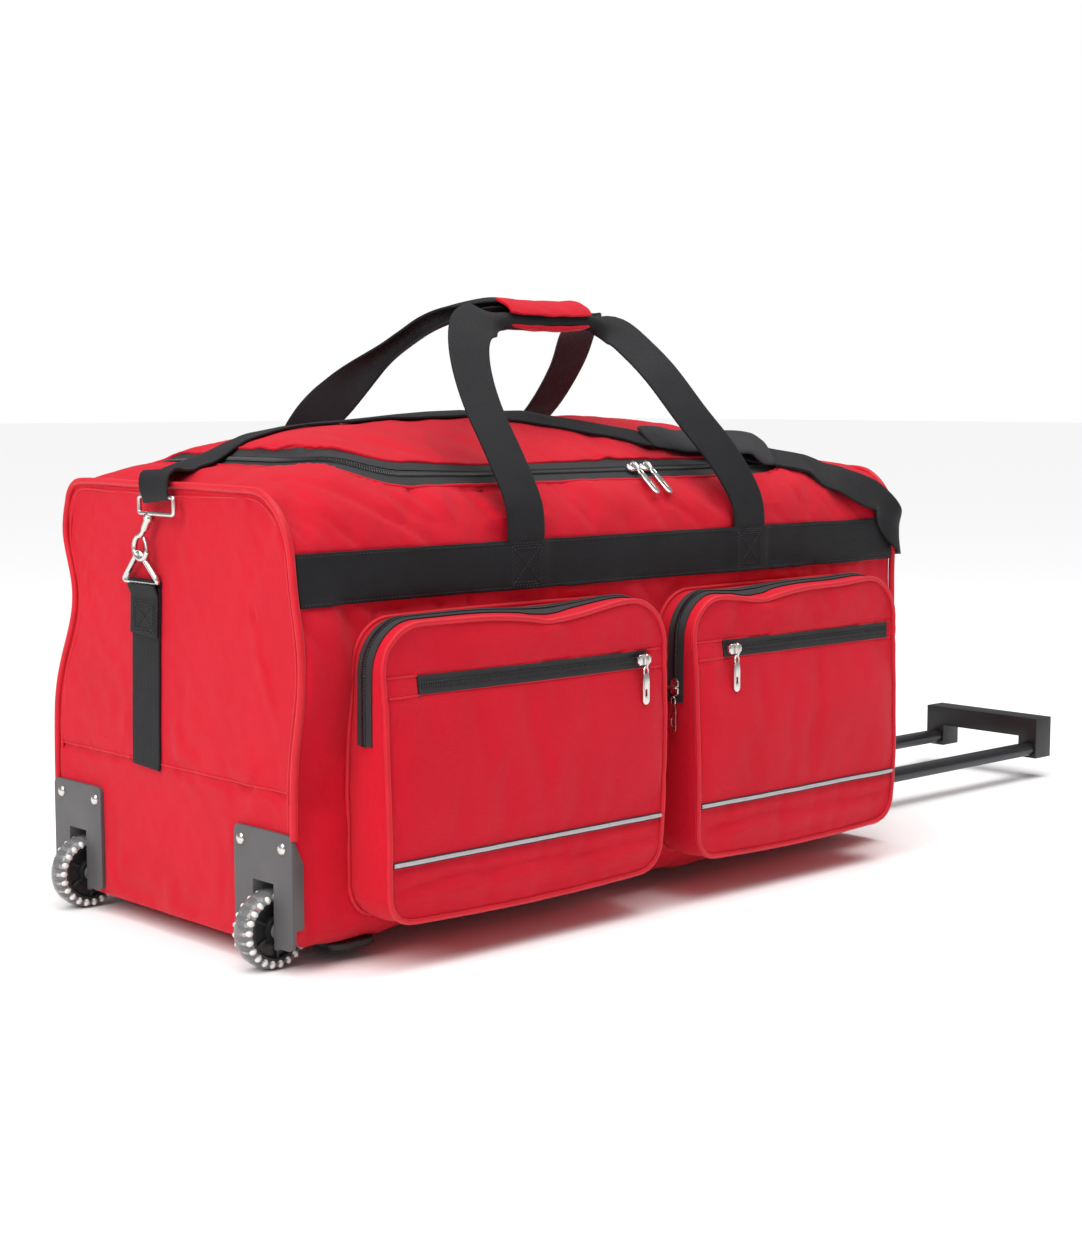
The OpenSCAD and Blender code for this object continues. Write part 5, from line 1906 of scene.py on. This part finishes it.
def make_wheel(name, y, clear, hub, metal):
    x = (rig.box(name + "_tyre")[0][0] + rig.box(name + "_tyre")[1][0]) / 2
    radius = (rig.box(name + "_tyre")[1][2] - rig.box(name + "_tyre")[0][2]) / 2
    centre = (x, y, radius)
    w = 0.0108
    tyre_profile = [(0.0245, -w + 0.001), (radius - 0.0060, -w), (radius - 0.0026, -w + 0.0018),
                    (radius - 0.0006, -w + 0.0050),
                    (radius, 0.0), (radius - 0.0006, w - 0.0050), (radius - 0.0026, w - 0.0018),
                    (radius - 0.0060, w),
                    (0.0245, w - 0.001)]
    tyre = turned(name + "_clear_tyre", tyre_profile, centre, 96)
    finish_piece(tyre, clear, name, [name + "_tyre"], "tyre_pu")
    core_profile = [(0.0071, -0.0100), (0.0105, -0.0102), (0.0120, -0.0060), (0.0200, -0.0060),
                    (0.0218, -0.0095),
                    (0.0242, -0.0092), (0.0242, 0.0092), (0.0218, 0.0095), (0.0200, 0.0060), (0.0120, 0.0060),
                    (0.0105, 0.0102), (0.0071, 0.0100)]
    parts = [turned("core", core_profile, centre, 72)]
    rib = box_piece("rib", (-0.0019, -0.0078, 0), (0.0019, 0.0078, 0.0040), 0.0009, 2)
    spoke = box_piece("spoke", (-0.0013, -0.0088, 0), (0.0013, 0.0088, 0.0118), 0.0005, 1)
    for k in range(TREAD_RIBS):
        turn = Matrix.Translation(centre) @ Matrix.Rotation(2 * math.pi * k / TREAD_RIBS, 4,
                                                            "Y") @ Matrix.Translation((0, 0, 0.0236))
        parts.append(moved_copy(rib, "rib", turn))
    for k in range(SPOKES):
        turn = Matrix.Translation(centre) @ Matrix.Rotation(2 * math.pi * k / SPOKES, 4,
                                                            "Y") @ Matrix.Translation((0, 0, 0.0098))
        parts.append(moved_copy(spoke, "spoke", turn))
    for pattern in (rib, spoke):
        bpy.data.objects.remove(pattern)
    bead = bead_pattern()
    beads = []
    for k in range(TREAD_RIBS):
        for side in (-1, 1):
            turn = (Matrix.Translation(centre) @ Matrix.Rotation(2 * math.pi * (k
                                                                      + 0.25 * side) / TREAD_RIBS, 4, "Y")
                    @ Matrix.Translation((0, side * 0.0087, 0.0264)))
            beads.append(moved_copy(bead, "bead", turn))
    bpy.data.objects.remove(bead)
    # The beads' pale white is a painted glint along the tyre's edge.
    finish_piece(smooth(join(name + "_tread_beads", beads)), metal, name, (), "tyre_pu")
    core = smooth(join(name + "_ribbed_core", parts), 40)
    finish_piece(core, hub, name, [name + "_core"], "black_plastic")


def make_rivets(metal):
    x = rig.box("housing_rivets")[1][0]
    parts = []
    for sign in (-1, 1):
        for y in (0.161, 0.107):
            deselect()
            bpy.ops.mesh.primitive_uv_sphere_add(segments=32, ring_count=16, radius=0.0048,
                                                 location=(0, 0, 0))
            dome = bpy.context.object
            dome.data.transform(Matrix.Translation((x, sign * y, 0.098)) @ Matrix.Diagonal((0.55, 1, 1, 1)))
            parts.append(dome)
    rivets = smooth(join("housing_rivet_heads", parts))
    finish_piece(rivets, metal, "bag", ["housing_rivets"], "nickel")


def keep_node(node, material):
    obj = frame["nodes"][node]
    if not obj.material_slots:
        obj.data.materials.append(material)
    for place in obj.material_slots:
        place.material = material


# ---- Making it all ------------------------------------------------------------------------------

make_camera()
make_stage()

red = woven_polyester()
red_cord = piping_cloth()
black_web = webbing_cloth()
black_tape = tape_cloth()
black_coil = coil_plastic()
bright = nickel()
grey_plastic = moulded("grey_housing_plastic", (0.085, 0.083, 0.086), 0.48)
black_plastic = moulded("black_moulded_plastic", (0.010, 0.010, 0.011), 0.42)
pad_fabric = moulded("dark_pad_cloth", (0.020, 0.020, 0.023), 0.8, 0.0005)
thread = moulded("black_thread", (0.020, 0.020, 0.023), 0.5)
clear = clear_urethane()
# Pale white for the tyre beads: a painted glint.
glint_white_beads = moulded("pale_tread_pellets", (0.80, 0.79, 0.76), 0.3)
tube_paint = metal_tube("dark_anodised_tube", (0.055, 0.056, 0.062), 0.34)
guide_metal = metal_tube("plain_aluminium", (0.62, 0.62, 0.64), 0.36)
stripe = reflective_cloth()

make_case(red)
make_end_piping(red_cord)
make_bands(black_web)
make_leg_stitching(thread)
for pocket_side in ("left", "right"):
    make_pocket(pocket_side, red, red_cord, black_tape, black_coil, stripe)
make_main_zip(black_tape, black_coil, red)
make_handle("front_handle_webbing", True, black_web, "front_handle")
make_handle("rear_handle_webbing", False, black_web, "rear_handle")
make_wrap(red)
make_end_straps(black_web, thread)
make_shoulder_strap(black_web, pad_fabric)
make_sliders(bright)
make_hooks(bright)
for wheel, wheel_side in (("front_wheel", -0.136), ("rear_wheel", 0.136)):
    make_wheel(wheel, wheel_side, clear, black_plastic, glint_white_beads)
make_rivets(bright)
for node in ("front_wheel_housing", "rear_wheel_housing"):
    shell = soft_copy(node + "_shell", node, 0.0016, 3)
    slim_flange(shell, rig.box(node))
    finish_piece(shell, grey_plastic, "bag", [node], "housing_plastic")
for name, node, body, bevel, segments in (
        ("trolley_grip_shell", "trolley_grip", "trolley", 0.0035, 3),
        ("trolley_bezel_shell", "trolley_bezel", "bag", 0.0012, 2),
        ("corner_skid_shell", "corner_skids", "bag", 0.0020, 3),
        ("base_foot_shell", "base_feet", "bag", 0.0015, 2)):
    finish_piece(soft_copy(name, node, bevel, segments), black_plastic, body, [node], "black_plastic")
for node, material in (
        ("base_board", black_plastic), ("tube_stops", black_plastic), ("trolley_tubes", tube_paint),
        ("trolley_guide_tubes", guide_metal), ("wheel_axles", bright),
        ("front_wheel_bushes", guide_metal), ("rear_wheel_bushes", guide_metal)):
    keep_node(node, material)

with open("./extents.json", "w") as out:
    json.dump({"cad": cad_box, "visual": [list(corner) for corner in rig.bounds()]}, out)
